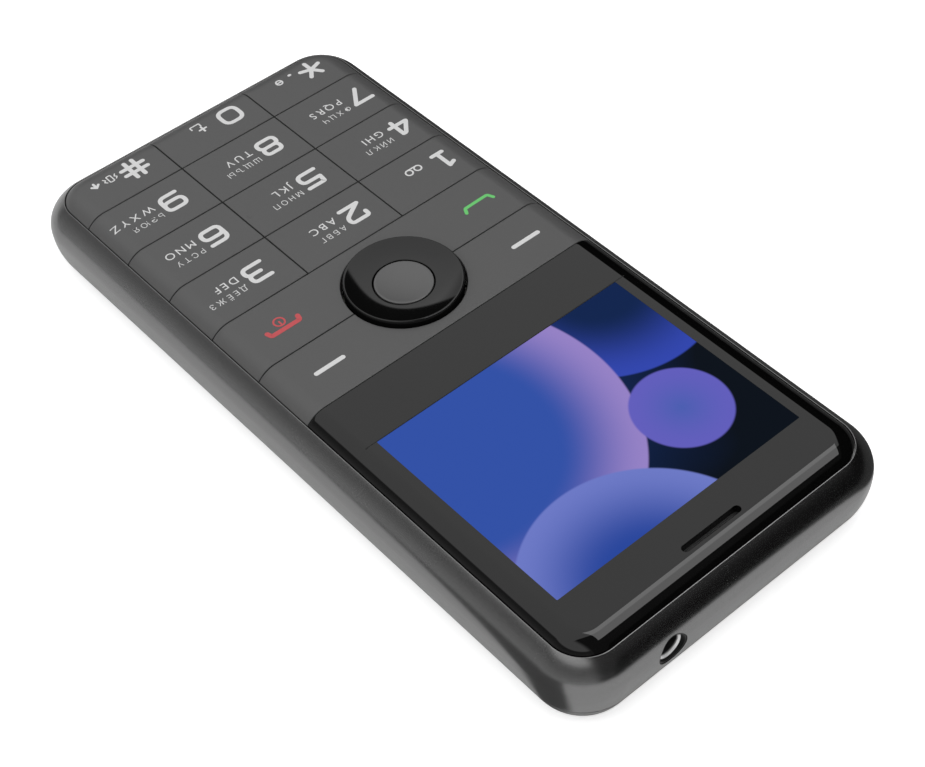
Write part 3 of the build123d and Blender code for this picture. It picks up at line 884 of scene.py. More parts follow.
@dataclass(frozen=True)
class Form:
    """The plan and sections that housing, cover, window and keys share."""

    half_width: float
    half_length: float
    face: float
    corner_radius: float = 8.4 * MM
    waist_drop: float = 6.1 * MM
    crown_inset: float = 2.63 * MM
    crown_tip: float = 9.0 * MM
    crown_end: float = 54.0
    belly_inset: float = 3.65 * MM
    belly_tip: float = 2.24 * MM
    shoulder_drop: float = 1.47 * MM
    shoulder_width: float = 3.1 * MM
    rim_width: float = 0.38 * MM
    face_gap: float = 0.15 * MM
    wall: float = 1.95 * MM
    corner_steps: int = 28
    side_steps: int = 20

    @property
    def corner(self) -> Point:
        """The centre of the corner at +X and +Y."""
        return (self.half_width - self.corner_radius, self.half_length - self.corner_radius)

    @property
    def waist(self) -> float:
        """The height of the widest line."""
        return self.face - self.waist_drop

    @property
    def rim(self) -> float:
        """The height of the rim."""
        return self.face - self.shoulder_drop

    @property
    def rim_reach(self) -> float:
        """The rim's outer reach from the corner centres' line."""
        return self.corner_radius - self.crown_inset

    @property
    def opening_reach(self) -> float:
        """The face opening's reach."""
        return self.rim_reach - self.rim_width

    @property
    def face_reach(self) -> float:
        """The window's and keys' reach."""
        return self.opening_reach - self.face_gap

    @property
    def inner_reach(self) -> float:
        """The inner wall's reach."""
        return self.corner_radius - self.wall

    def stations(self) -> list[tuple[Vector, Vector]]:
        """Walk round the plan.

        Returns:
            Points on the corner centres' line, each with its outward direction.
        """
        around = []
        corners = ((0, 1, 1), (90, -1, 1), (180, -1, -1), (270, 1, -1))
        for index, (start, side_x, side_y) in enumerate(corners):
            centre = Vector((side_x * self.corner[0], side_y * self.corner[1], 0))
            for step in range(self.corner_steps + 1):
                turn = math.radians(start + 90 * step / self.corner_steps)
                around.append((centre, Vector((math.cos(turn), math.sin(turn), 0))))
            _, next_x, next_y = corners[(index + 1) % 4]
            following = Vector((next_x * self.corner[0], next_y * self.corner[1], 0))
            for step in range(1, self.side_steps):
                around.append((centre.lerp(following, step / self.side_steps), around[-1][1]))
        return around

    def solid(self, section: Sequence[Point]) -> bmesh.types.BMesh:
        """Carry a section of reach and height round the plan, closed flat at both ends.

        Args:
            section: The points of the section, from the lowest up.

        Returns:
            The solid.
        """
        rings = []
        for reach, z in section:
            height = Vector((0, 0, z))
            rings.append([centre + outward * reach + height for centre, outward in self.stations()])
        return stacked(rings)

    @staticmethod
    def flank(inset: float, height: float, tip: float, end: float = 90.0) -> float:
        """The radius of the first arc of a side that turns in by the inset over a height.

        Args:
            inset: How far the side turns in.
            height: The height that it takes.
            tip: The radius of the second arc.
            end: The angle in degrees at which the side ends.

        Returns:
            The radius.
        """
        across = inset + tip * math.cos(math.radians(end))
        up = height - tip * math.sin(math.radians(end))
        return (across ** 2 + up ** 2 - tip ** 2) / (2 * (across - tip))

    def side(self, rise: int, inset: float, height: float, tip: float, end: float = 90.0,
             steps: int = 18) -> list[Point]:
        """Two tangent arcs from the widest line up or down.

        Args:
            rise: 1 for up, -1 for down.
            inset: How far the side turns in.
            height: How far it reaches from the widest line.
            tip: The radius of its second arc.
            end: How steeply the surface faces up or down at the end, in degrees.
            steps: The steps along each arc.

        Returns:
            Points of reach and height, from the widest line on.
        """
        flank = self.flank(inset, height, tip, end)
        stop = math.radians(end)
        turn = math.atan((height - tip * math.sin(stop)) / (flank - inset - tip * math.cos(stop)))
        start = self.corner_radius - flank
        points = []
        for step in range(steps + 1):
            angle = turn * step / steps
            points.append((start + flank * math.cos(angle), self.waist + rise * flank * math.sin(angle)))
        middle = (start + (flank - tip) * math.cos(turn), (flank - tip) * math.sin(turn))
        for step in range(1, steps + 1):
            angle = turn + (stop - turn) * step / steps
            points.append((middle[0] + tip * math.cos(angle),
                           self.waist + rise * (middle[1] + tip * math.sin(angle))))
        return points

    def belly(self, z: float) -> float:
        """The outer reach at a height not far below the widest line."""
        flank = self.flank(self.belly_inset, self.waist, self.belly_tip)
        return self.corner_radius - flank + math.sqrt(flank ** 2 - (self.waist - z) ** 2)

    def height(self, x: float, y: float) -> float:
        """The face's height over a point of the plan.

        Args:
            x: The point's x.
            y: The point's y.

        Returns:
            The height.
        """
        past = math.hypot(max(0.0, abs(x) - self.corner[0]), max(0.0, abs(y) - self.corner[1]))
        over = min(max(0.0, past - self.face_reach + self.shoulder_width), self.shoulder_width)
        radius = (self.shoulder_width ** 2 + self.shoulder_drop ** 2) / (2 * self.shoulder_drop)
        return self.face - radius + math.sqrt(radius ** 2 - over ** 2)

    def shoulder(self, steps: int = 16) -> list[Point]:
        """The arc that the face follows down to the rim, from its edge to the flat.

        Args:
            steps: How many pieces the arc has.

        Returns:
            Points of reach and height.
        """
        radius = (self.shoulder_width ** 2 + self.shoulder_drop ** 2) / (2 * self.shoulder_drop)
        sweep = math.asin(self.shoulder_width / radius)
        start = self.face_reach - self.shoulder_width
        arc = []
        for step in range(steps + 1):
            turn = sweep * (1 - step / steps)
            arc.append((start + radius * math.sin(turn), self.face - radius * (1 - math.cos(turn))))
        return arc


# The housing and the cover


@dataclass
class Housing:
    """The front shell: rim, walls, window seat, keypad ledge, screw bosses and end holes."""

    form: Form
    seam: float = 3.35 * MM
    edge: float = 0.12 * MM
    crest: float = 0.08 * MM
    rim_round: float = 0.08 * MM
    rim_flat: float = 0.02 * MM
    cap_under: float = 11.6 * MM
    web_under: float = 10.75 * MM
    ledge_under: float = 9.85 * MM
    window_edge: float = 4.93 * MM
    keypad_half: Point = (25.5 * MM, 31.09 * MM)
    keypad_centre: Point = (0.0, -27.16 * MM)
    keypad_corner: float = 3.0 * MM
    display_half: Point = (24.3 * MM, 20.65 * MM)
    display_centre: Point = (0.0, 31.81 * MM)
    receiver_half: Point = (6.3 * MM, 3.3 * MM)
    receiver_centre: Point = (0.0, 55.84 * MM)
    boss_x: float = 26.25 * MM
    boss_rows: tuple[float, float, float] = (-50.0 * MM, 3.53 * MM, 50.0 * MM)
    boss_radius: float = 1.75 * MM
    boss_rib: float = 1.0 * MM
    boss_under: float = 7.0 * MM
    screw_hole: float = 0.75 * MM
    screw_depth: float = 2.2 * MM
    jack: Point = (13.57 * MM, 7.2 * MM)
    jack_radius: float = 2.5 * MM
    jack_depth: float = 1.2 * MM
    jack_seat: Point = (3.15 * MM, 2.3 * MM)
    usb_z: float = 7.2 * MM
    usb_half: Point = (4.05 * MM, 1.6 * MM)
    usb_corner: float = 0.8 * MM
    microphone: Point = (-12.0 * MM, 7.95 * MM)
    microphone_radius: float = 0.5 * MM

    def section(self) -> list[Point]:
        """The outer side from the seam to the rim.

        Returns:
            Points of reach and height.
        """
        form = self.form
        points = [(form.belly(self.seam) - self.edge, self.seam)]
        low, steps = self.seam + self.edge, 12
        for step in range(steps):
            z = low + (form.waist - low) * step / steps
            points.append((form.belly(z), z))
        end = math.radians(form.crown_end)
        middle = (form.opening_reach + self.rim_round + self.rim_flat, form.rim - self.crest)
        edge = (middle[0] + self.crest * math.cos(end), middle[1] + self.crest * math.sin(end))
        inset = form.corner_radius - edge[0]
        points += form.side(1, inset, edge[1] - form.waist, form.crown_tip, form.crown_end)
        for step in range(1, 5):
            turn = end + (math.pi / 2 - end) * step / 4
            points.append((middle[0] + self.crest * math.cos(turn), middle[1] + self.crest * math.sin(turn)))
        return points

    def opening(self) -> bmesh.types.BMesh:
        """What the keys and the window fill, flared by the rim's rounded inner edge.

        Returns:
            The solid that fills it.
        """
        form = self.form
        section = [(form.opening_reach, self.cap_under), (form.opening_reach, form.rim - self.rim_round)]
        for step in range(1, 5):
            turn = math.radians(90 * step / 4)
            reach = form.opening_reach + self.rim_round * (1 - math.cos(turn))
            section.append((reach, form.rim - self.rim_round * (1 - math.sin(turn))))
        section.append((section[-1][0], form.face))
        return form.solid(section)

    def hollows(self) -> list[bmesh.types.BMesh]:
        """The hollow under the ledge, the web's recess, and the openings through the ledge.

        Returns:
            One mesh for each hollow.
        """
        form = self.form
        hollow = form.solid([(form.inner_reach, 0.0), (form.inner_reach, self.ledge_under)])
        top = form.rim - self.rim_round
        recess = form.solid([(form.opening_reach, self.web_under), (form.opening_reach, top)])
        trim(recess, (0, self.window_edge, 0), (0, 1, 0))
        keypad = prism(rounded_box(*self.keypad_half, self.keypad_corner, self.keypad_centre), 0.0, form.face)
        display = prism(rounded_box(*self.display_half, self.edge, self.display_centre, 3), 0.0, form.face)
        receiver = prism(rounded_box(*self.receiver_half, self.edge, self.receiver_centre, 3), 0.0, form.face)
        return [hollow, recess, gathered([keypad, display, receiver])]

    def boss(self, side: int, y: float) -> bmesh.types.BMesh:
        """One screw boss with the rib that ties it to the wall.

        Args:
            side: Which side it stands on, as a sign.
            y: Its place along the phone.

        Returns:
            The boss.
        """
        half = self.boss_rib / 2
        bend = math.asin(half / self.boss_radius)
        outline = []
        for step in range(33):
            turn = bend + (2 * math.pi - 2 * bend) * step / 32
            outline.append((side * (self.boss_x + self.boss_radius * math.cos(turn)),
                            y + self.boss_radius * math.sin(turn)))
        wall_x = side * (self.form.corner[0] + self.form.inner_reach + self.edge)
        outline += [(wall_x, y - half), (wall_x, y + half)]
        return prism(outline, self.boss_under, self.web_under)

    def end_holes(self) -> list[bmesh.types.BMesh]:
        """The holes in both end walls, and the flat seat behind the audio jack's hole.

        Returns:
            One mesh for each hole.
        """
        form = self.form
        start, end = form.corner[1], form.half_length + 1 * MM
        jack = bored(circle(self.jack_radius, self.jack, 96), start, end)
        x, z = self.jack
        half_x, half_z = self.jack_seat
        stop = form.half_length - self.jack_depth
        square = [(x - half_x, start), (x + half_x, start), (x + half_x, stop), (x - half_x, stop)]
        seat = prism(square, z - half_z, z + half_z)
        usb = bored(self.usb_outline(), -end, -start)
        microphone = bored(circle(self.microphone_radius, self.microphone, 32), -end, -start)
        return [seat, jack, gathered([usb, microphone])]

    def usb_outline(self) -> list[Point]:
        """The data socket's hole: square by the face, cut off towards the back.

        Returns:
            The outline's points.
        """
        half_x, half_z = self.usb_half
        low, high, cut = self.usb_z - half_z, self.usb_z + half_z, self.usb_corner
        left = [(-half_x, high), (-half_x, low + cut), (cut - half_x, low)]
        return [(half_x, high), *left, (half_x - cut, low), (half_x, low + cut)]

    def build(self) -> None:
        """Build and dress the front housing."""
        made = object_from("front_housing_shell", self.form.solid(self.section()))
        carve(made, [self.opening(), *self.hollows()])
        places = [(side, y) for side in (-1, 1) for y in self.boss_rows]
        carve(made, [gathered(self.boss(side, y) for side, y in places)], "UNION")
        top = self.boss_under + self.screw_depth
        holes = [prism(circle(self.screw_hole, (side * self.boss_x, y), 32), 0.0, top) for side, y in places]
        carve(made, [gathered(holes), *self.end_holes()])
        polish(made)
        place_piece(made, Look.HOUSING, "phone", "front_housing")


def bored(outline: Sequence[Point], low: float, high: float) -> bmesh.types.BMesh:
    """A prism along Y on an outline in X and Z."""
    return stacked([[Vector((x, y, z)) for x, z in outline] for y in (low, high)])


@dataclass
class Jack:
    """The audio jack's black nose in the housing's hole, and its bright sleeve."""

    housing: Housing
    bore: float = 1.8 * MM
    sleeve: float = 2.1 * MM
    nose: float = 2.46 * MM
    nose_bore: float = 2.26 * MM
    nose_drop: float = 0.12 * MM
    sleeve_front: float = 0.8 * MM
    flare: float = 0.25 * MM

    def tube(self, name: str, profile: Sequence[Point]) -> bpy.types.Object:
        """A ring-shaped piece about the jack's axis, from a profile of radius and y.

        Args:
            name: The piece's name.
            profile: The profile's points.

        Returns:
            The piece.
        """
        mesh = turned(profile, (0.0, 0.0), 96)
        x, z = self.housing.jack
        for vertex in mesh.verts:
            across, up, along = vertex.co
            vertex.co = (x + across, along, z + up)
        return object_from(name, mesh)

    def build(self) -> None:
        """Build the nose, flush with the curved end, and the sleeve with its flared lip."""
        form = self.housing.form
        end, low = form.half_length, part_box("audio_jack_sleeve")[0].y
        front = end - self.sleeve_front
        floor = front - self.flare
        nose = self.tube("audio_jack_nose", [(self.nose, floor), (self.nose, end), (self.nose_bore, end),
                                             (self.nose_bore, floor)])
        inside = [(reach - self.nose_drop, z) for reach, z in self.housing.section()]
        carve(nose, [form.solid(inside)], "INTERSECT")
        polish(nose)
        place_piece(nose, Look.NOSE, "phone")
        sleeve = self.tube("audio_jack_sleeve_lip", [(self.sleeve, low), (self.sleeve, front),
                                                     (self.bore + self.flare, front),
                                                     (self.bore, front - self.flare), (self.bore, low)])
        polish(sleeve)
        place_piece(sleeve, Look.SLEEVE, "phone", "audio_jack_sleeve")


@dataclass
class Screws:
    """The six pan-head screws that hold the chassis to the bosses."""

    x: float = 26.25 * MM
    rows: tuple[float, float, float] = (-50.0 * MM, 3.53 * MM, 50.0 * MM)
    under: float = 5.6 * MM
    seat: float = 6.4 * MM
    end: float = 9.15 * MM
    head: float = 1.35 * MM
    shank: float = 0.68 * MM
    pitch: float = 0.4 * MM
    thread: float = 0.08 * MM
    cross: Point = (0.85 * MM, 0.14 * MM)
    cross_depth: float = 0.45 * MM
    rim_share: float = 0.4

    def profile(self) -> list[Point]:
        """The screw's section from its domed head to its tip, with the thread as rings.

        Returns:
            Points of radius and height.
        """
        points = [(0.0, self.under)]
        steps = 6
        for step in range(1, steps + 1):
            turn = math.radians(90 * step / steps)
            drop = self.rim_share + (1 - self.rim_share) * math.cos(turn)
            points.append((self.head * math.sin(turn), self.seat - (self.seat - self.under) * drop))
        points += [(self.head, self.seat), (self.shank - self.thread, self.seat)]
        count = int((self.end - self.seat) / self.pitch)
        for turn in range(1, count):
            z = self.seat + turn * self.pitch
            points += [(self.shank, z), (self.shank - self.thread, z + self.pitch / 2)]
        return points + [(0.0, self.end)]

    def build(self) -> None:
        """Build one screw, cut its cross recess, and set six of them."""
        pattern = object_from("chassis_screw_pattern", turned(self.profile(), (0.0, 0.0), 36))
        long, wide = self.cross
        bars = [prism([(-a, -b), (a, -b), (a, b), (-a, b)], 0.0, self.under + self.cross_depth)
                for a, b in ((long, wide), (wide, long))]
        carve(pattern, bars)
        whole = bmesh.new()
        for side in (-1, 1):
            for y in self.rows:
                copied = bmesh.new()
                copied.from_mesh(pattern.data)
                bmesh.ops.translate(copied, verts=copied.verts, vec=(side * self.x, y, 0))
                copy_into(whole, copied)
        bpy.data.objects.remove(pattern)
        made = object_from("chassis_screw_set", whole)
        polish(made)
        place_piece(made, Look.SCREW, "phone", "chassis_screws")


@dataclass
class Cover:
    """The removable back with its camera seat and speaker slots."""

    form: Form
    seam: float = 3.25 * MM
    edge: float = 0.12 * MM
    wall: float = 1.2 * MM
    tongue_top: float = 4.3 * MM
    tongue_play: float = 0.12 * MM
    tongue_thickness: float = 0.8 * MM
    camera: Point = (0.0, 46.0 * MM)
    camera_hole: float = 3.2 * MM
    camera_seat: float = 4.2 * MM
    camera_seat_depth: float = 0.8 * MM
    speaker: Point = (-14.5 * MM, 40.0 * MM)
    slot_count: int = 5
    slot_pitch: float = 2.0 * MM
    slot_half: Point = (3.5 * MM, 0.5 * MM)

    def section(self) -> list[Point]:
        """The outer side from the flat back to the seam.

        Returns:
            Points of reach and height.
        """
        form = self.form
        down = form.side(-1, form.belly_inset, form.waist, form.belly_tip)
        points = [(reach, z) for reach, z in reversed(down) if z < self.seam - 2 * self.edge]
        points.append((form.belly(self.seam - self.edge), self.seam - self.edge))
        points.append((form.belly(self.seam) - self.edge, self.seam))
        tongue = form.inner_reach - self.tongue_play
        points += [(tongue, self.seam), (tongue, self.tongue_top)]
        return points

    def cuts(self) -> list[bmesh.types.BMesh]:
        """The hollow, the camera's stepped hole and the speaker slots.

        Returns:
            One mesh for each cut.
        """
        form = self.form
        inner = form.inner_reach - self.tongue_play - self.tongue_thickness
        under = -1 * MM
        cuts = [form.solid([(inner, self.wall), (inner, form.face)])]
        cuts.append(prism(circle(self.camera_hole, self.camera, 96), under, 2 * self.wall))
        cuts.append(prism(circle(self.camera_seat, self.camera, 96), under, self.camera_seat_depth))
        for step in range(self.slot_count):
            offset = (step - (self.slot_count - 1) / 2) * self.slot_pitch
            place = (self.speaker[0], self.speaker[1] + offset)
            cuts.append(prism(rounded_box(*self.slot_half, self.slot_half[1], place), under, 2 * self.wall))
        return cuts

    def build(self) -> None:
        """Build and dress the rear cover."""
        made = object_from("rear_cover_shell", self.form.solid(self.section()))
        carve(made, self.cuts())
        polish(made)
        place_piece(made, Look.COVER, "rear_cover", "rear_cover")


# The face: window, keys and ring


@dataclass
class Face:
    """The run of window and keys over the whole front, cut into its pieces."""

    form: Form
    under: float = 11.6 * MM
    overrun: float = 1 * MM
    edge: float = 0.13 * MM

    def sheet(self) -> bmesh.types.BMesh:
        """The face in one piece, before it is cut."""
        form = self.form
        return form.solid([(form.face_reach, self.under), *form.shoulder()])

    def cell(self, x_span: Point, y_span: Point) -> bmesh.types.BMesh:
        """One piece of the face between two lines each way.

        Args:
            x_span: The low and high x.
            y_span: The low and high y.

        Returns:
            A closed mesh.
        """
        mesh = self.sheet()
        trim(mesh, (x_span[0], 0, 0), (-1, 0, 0))
        trim(mesh, (x_span[1], 0, 0), (1, 0, 0))
        trim(mesh, (0, y_span[0], 0), (0, -1, 0))
        return trim(mesh, (0, y_span[1], 0), (0, 1, 0))


def cell_of(node: str, spread: float = 0.0) -> tuple[Point, Point]:
    """A node's span in x and y, with a little added outside."""
    low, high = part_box(node)
    return (low.x - spread, high.x + spread), (low.y - spread, high.y + spread)


@dataclass
class Window:
    """The black-backed window, the lit picture in its opening, and the earpiece slot."""

    face: Face
    pocket: float = 12.6 * MM
    pocket_half: Point = (24.3 * MM, 20.65 * MM)
    pocket_centre: Point = (0.0, 31.81 * MM)
    picture_half: Point = (22.5 * MM, 17.95 * MM)
    picture_centre: Point = (0.0, 32.71 * MM)
    pane: float = 0.3 * MM
    pane_play: float = 0.015 * MM
    pane_drop: float = 0.01 * MM
    slot_half: Point = (5.35 * MM, 0.6 * MM)
    slot_centre: Point = (0.0, 55.84 * MM)
    slot_round: float = 0.1 * MM
    receiver_half: Point = (6.3 * MM, 3.3 * MM)
    rule_half: Point = (24.4 * MM, 0.07 * MM)
    rule_y: float = 14.68 * MM

    def build(self) -> None:
        """Build the glass, the picture in its opening and the printed line beside it."""
        self.build_glass()
        face = self.face.form.face
        half_x, half_y = (side - self.pane_play for side in self.picture_half)
        outline = rounded_box(half_x, half_y, 0.12 * MM, self.picture_centre, 3)
        picture = object_from("display_picture_pane", prism(outline, face - self.pane, face - self.pane_drop))
        place_piece(picture, Look.PICTURE, "phone")
        line = rounded_box(*self.rule_half, 0.05 * MM, (0.0, self.rule_y), 2)
        rule = object_from("display_printed_line", prism(line, face - 0.01 * MM, face + 0.004 * MM))
        place_piece(rule, Look.BLACK_INK, "phone")

    def build_glass(self) -> None:
        """The window with its pocket, slot and rounded edges."""
        x_span, y_span = cell_of("display_window")
        wide = self.face.overrun
        cell = self.face.cell((x_span[0] - wide, x_span[1] + wide), (y_span[0], y_span[1] + wide))
        glass = object_from("display_window_glass", cell)
        pocket = prism(rounded_box(*self.pocket_half, 0.5 * MM, self.pocket_centre, 4), 0.0, self.pocket)
        receiver = prism(rounded_box(*self.receiver_half, 0.5 * MM, self.slot_centre, 4), 0.0, self.pocket)
        outline = rounded_box(*self.slot_half, self.slot_half[1], self.slot_centre, 12)
        carve(glass, [gathered([pocket, receiver]), prism(outline, 0.0, 2 * self.pocket)])
        mesh = bmesh.new()
        mesh.from_mesh(glass.data)
        soften(mesh, self.slot_round, self.pocket + 0.2 * MM)
        mesh.to_mesh(glass.data)
        mesh.free()
        carve(glass, [prism(rounded_box(*self.picture_half, 0.15 * MM, self.picture_centre, 3), 0.0,
                            2 * self.pocket)])
        polish(glass)
        place_piece(glass, Look.GLASS, "phone", "display_window")


@dataclass
class Keypad:
    """The number keys and the two function bars, with their stems."""

    face: Face
    navigation: Point = (0.0, -6.35 * MM)
    well: float = 9.37 * MM
    stem_radius: float = 1.2 * MM
    round_above: float = 12.3 * MM

    def piece(self, node: str, stems: Sequence[Point]) -> None:
        """Build one cap with its stems and rounded edges.

        Args:
            node: The CAD node that it stands for, which is also its body.
            stems: The places of its stems.
        """
        (x_low, x_high), (y_low, y_high) = cell_of(node)
        reach = self.face.form.face_reach + self.face.form.corner[0]
        wide = self.face.overrun
        x_span = (x_low - wide * (x_low < -reach + wide), x_high + wide * (x_high > reach - wide))
        y_edge = self.face.form.face_reach + self.face.form.corner[1]
        y_span = (y_low - wide * (y_low < -y_edge + wide), y_high)
        made = object_from(node + "_cap", self.face.cell(x_span, y_span))
        if node.endswith("_bar"):
            carve(made, [prism(circle(self.well, self.navigation, 192), 0.0, 2 * self.face.form.face)])
        mesh = bmesh.new()
        mesh.from_mesh(made.data)
        soften(mesh, self.face.edge, self.round_above)
        stem_low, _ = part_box(node)
        for stem in stems:
            post = prism(circle(self.stem_radius, stem, 24), stem_low.z, self.face.under + 0.1 * MM)
            copy_into(mesh, post)
        mesh.to_mesh(made.data)
        mesh.free()
        polish(made)
        place_piece(made, Look.KEYS, node, node)

    def build(self) -> None:
        """Build every key and bar."""
        for name in ("1", "2", "3", "4", "5", "6", "7", "8", "9", "star", "0", "hash"):
            node = "key_" + name
            self.piece(node, [self.middle(node)])
        for node in ("soft_key_bar", "call_key_bar"):
            side, y = self.middle("key_3")[0], self.middle(node)[1]
            self.piece(node, [(-side, y), (side, y)])

    @staticmethod
    def middle(node: str) -> Point:
        """The middle of a node in plan."""
        (x_low, x_high), (y_low, y_high) = cell_of(node)
        return ((x_low + x_high) / 2, (y_low + y_high) / 2)


@dataclass
class Navigation:
    """The dished ring and the select button in it."""

    centre: Point = (0.0, -6.35 * MM)
    face: float = 13.9 * MM
    under: float = 11.6 * MM
    outer: float = 8.95 * MM
    inner: float = 4.65 * MM
    crest: float = 0.91 * MM
    crest_round: float = 0.2 * MM
    lip: float = 0.1 * MM
    dish_start: float = 3.0
    dish_end: float = 20.0
    lip_round: float = 0.1 * MM
    button: float = 4.45 * MM
    button_dish: float = 0.25 * MM
    button_lift: float = 0.3 * MM
    stem_radius: float = 1.2 * MM
    lip_steps: int = 4
    dish_steps: int = 20
    crest_steps: int = 12
    edge_steps: int = 5

    def ring_profile(self) -> list[Point]:
        """The ring's section: lip, dish, rounded crest, wall and underside.

        Returns:
            Points of radius and height.
        """
        start, end = math.radians(self.dish_start), math.radians(self.dish_end)
        reach = self.outer - self.crest_round - self.inner - self.lip_round
        radius = reach / (math.sin(end) - math.sin(start))
        lip_z = self.face + self.lip
        points = []
        for step in range(self.lip_steps + 1):
            turn = math.radians(90 * step / self.lip_steps)
            points.append((self.inner + self.lip_round * (1 - math.cos(turn)),
                           lip_z - self.lip_round * (1 - math.sin(turn))))
        for step in range(1, self.dish_steps + 1):
            turn = start + (end - start) * step / self.dish_steps
            points.append((self.inner + self.lip_round + radius * (math.sin(turn) - math.sin(start)),
                           lip_z + radius * (math.cos(start) - math.cos(turn))))
        top = points[-1][1]
        middle = (self.outer - self.crest_round, top - self.crest_round)
        for step in range(1, self.crest_steps + 1):
            turn = math.radians(90 - 90 * step / self.crest_steps)
            points.append((middle[0] + self.crest_round * math.cos(turn),
                           middle[1] + self.crest_round * math.sin(turn)))
        points += [(self.outer, self.under), (self.inner, self.under)]
        return points

    def button_profile(self) -> list[Point]:
        """The button's section, from its dished top to the end of its stem.

        Returns:
            Points of radius and height.
        """
        top = self.face + self.lip
        points = []
        flat = self.button - self.lip_round
        for step in range(self.crest_steps + 1):
            share = step / self.crest_steps
            points.append((flat * share, top - self.button_dish * (1 - share * share)))
        for step in range(1, self.edge_steps + 1):
            turn = math.radians(90 - 90 * step / self.edge_steps)
            points.append((flat + self.lip_round * math.cos(turn),
                           top - self.lip_round + self.lip_round * math.sin(turn)))
        low = self.under + self.button_lift
        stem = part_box("centre_button")[0].z
        points += [(self.button, low), (self.stem_radius, low), (self.stem_radius, stem), (0.0, stem)]
        return points

    def build(self) -> None:
        """Build and dress the ring and the button."""
        ring = object_from("navigation_ring_dish", turned(self.ring_profile(), self.centre, 192))
        polish(ring, 40.0)
        place_piece(ring, Look.RING, "navigation_ring", "navigation_ring")
        button = object_from("centre_button_cap", turned(self.button_profile(), self.centre, 128))
        polish(button, 40.0)
        place_piece(button, Look.BUTTON, "centre_button", "centre_button")


# Printed marks


@dataclass(frozen=True)
class Stroke:
    """One stroke of a mark, in shares of the mark's half size."""

    points: tuple[Point, ...]
    rounding: float = 0.0
    closed: bool = False

    def turned_over(self) -> Stroke:
        """The stroke turned half round."""
        return Stroke(tuple((-x, -y) for x, y in self.points), self.rounding, self.closed)

    def path(self, centre: Point, size: float, steps: int = 6) -> list[Point]:
        """The stroke's middle line at its place, with its corners rounded.

        Args:
            centre: The mark's middle.
            size: The mark's half size.
            steps: The steps round each corner.

        Returns:
            The points of the line.
        """
        corners = [Vector((centre[0] + x * size, centre[1] + y * size)) for x, y in self.points]
        line: list[Point] = []
        for index, here in enumerate(corners):
            if not self.rounding or (not self.closed and index in (0, len(corners) - 1)):
                line.append(tuple(here))
                continue
            before, after = corners[index - 1] - here, corners[(index + 1) % len(corners)] - here
            reach = min(self.rounding * size, 0.49 * before.length, 0.49 * after.length)
            start, end = here + before.normalized() * reach, here + after.normalized() * reach
            for step in range(steps + 1):
                share = step / steps
                line.append(tuple(start.lerp(here, share).lerp(here.lerp(end, share), share)))
        return line


def ring(radius: float, centre: Point = (0.0, 0.0), corners: int = 20) -> Stroke:
    """A round closed stroke."""
    return Stroke(tuple(circle(radius, centre, corners)), 0.0, True)


SIX = (
    Stroke(((-1, -1), (1, -1), (1, 0.15), (-1, 0.15)), 0.55, True),
    Stroke(((-1, -0.4), (-1, 1), (0.85, 1)), 0.65),
)
DIGITS: dict[str, tuple[Stroke, ...]] = {
    "1": (
        Stroke(((-0.5, 0.75), (0.1, 0.98))),
        Stroke(((0.1, 1), (0.1, -1))),
        Stroke(((-0.5, -1), (0.7, -1))),
    ),
    "2": (Stroke(((-0.95, 0.4), (-0.95, 1), (0.95, 1), (0.95, 0.2), (-0.98, -1)), 0.55),
          Stroke(((-0.98, -1), (1, -1)))),
    "3": (Stroke(((-0.95, 1), (0.88, 1), (0.88, 0.04), (-0.4, 0.04)), 0.5),
          Stroke(((-0.4, 0.04), (1, 0.04), (1, -1), (-1, -1)), 0.55)),
    "4": (Stroke(((1, -0.42), (-1, -0.42), (0.1, 1), (0.4, 1)), 0.14), Stroke(((0.4, 1), (0.4, -1)))),
    "5": (Stroke(((0.92, 1), (-0.82, 1), (-0.9, 0.16)), 0.12),
          Stroke(((-0.9, 0.16), (1, 0.16), (1, -1), (-1, -1)), 0.55)),
    "6": SIX,
    "7": (Stroke(((-1, 1), (1, 1))), Stroke(((1, 1), (-0.35, -1)))),
    "8": (Stroke(((-0.86, 0.05), (0.86, 0.05), (0.86, 1), (-0.86, 1)), 0.5, True),
          Stroke(((-1, -1), (1, -1), (1, 0.05), (-1, 0.05)), 0.55, True)),
    "9": tuple(stroke.turned_over() for stroke in SIX),
    "0": (Stroke(((-1, -1), (1, -1), (1, 1), (-1, 1)), 0.75, True),),
    "hash": tuple(Stroke(((-1.2, side * 0.42), (1.2, side * 0.42))) for side in (-1, 1))
    + tuple(Stroke(((side * 0.42, -1.2), (side * 0.42, 1.2))) for side in (-1, 1)),
    "star": tuple(Stroke(((0, 0), (1.15 * math.sin(turn), -1.15 * math.cos(turn))))
                  for turn in (2 * math.pi * arm / 5 for arm in range(5))),
}
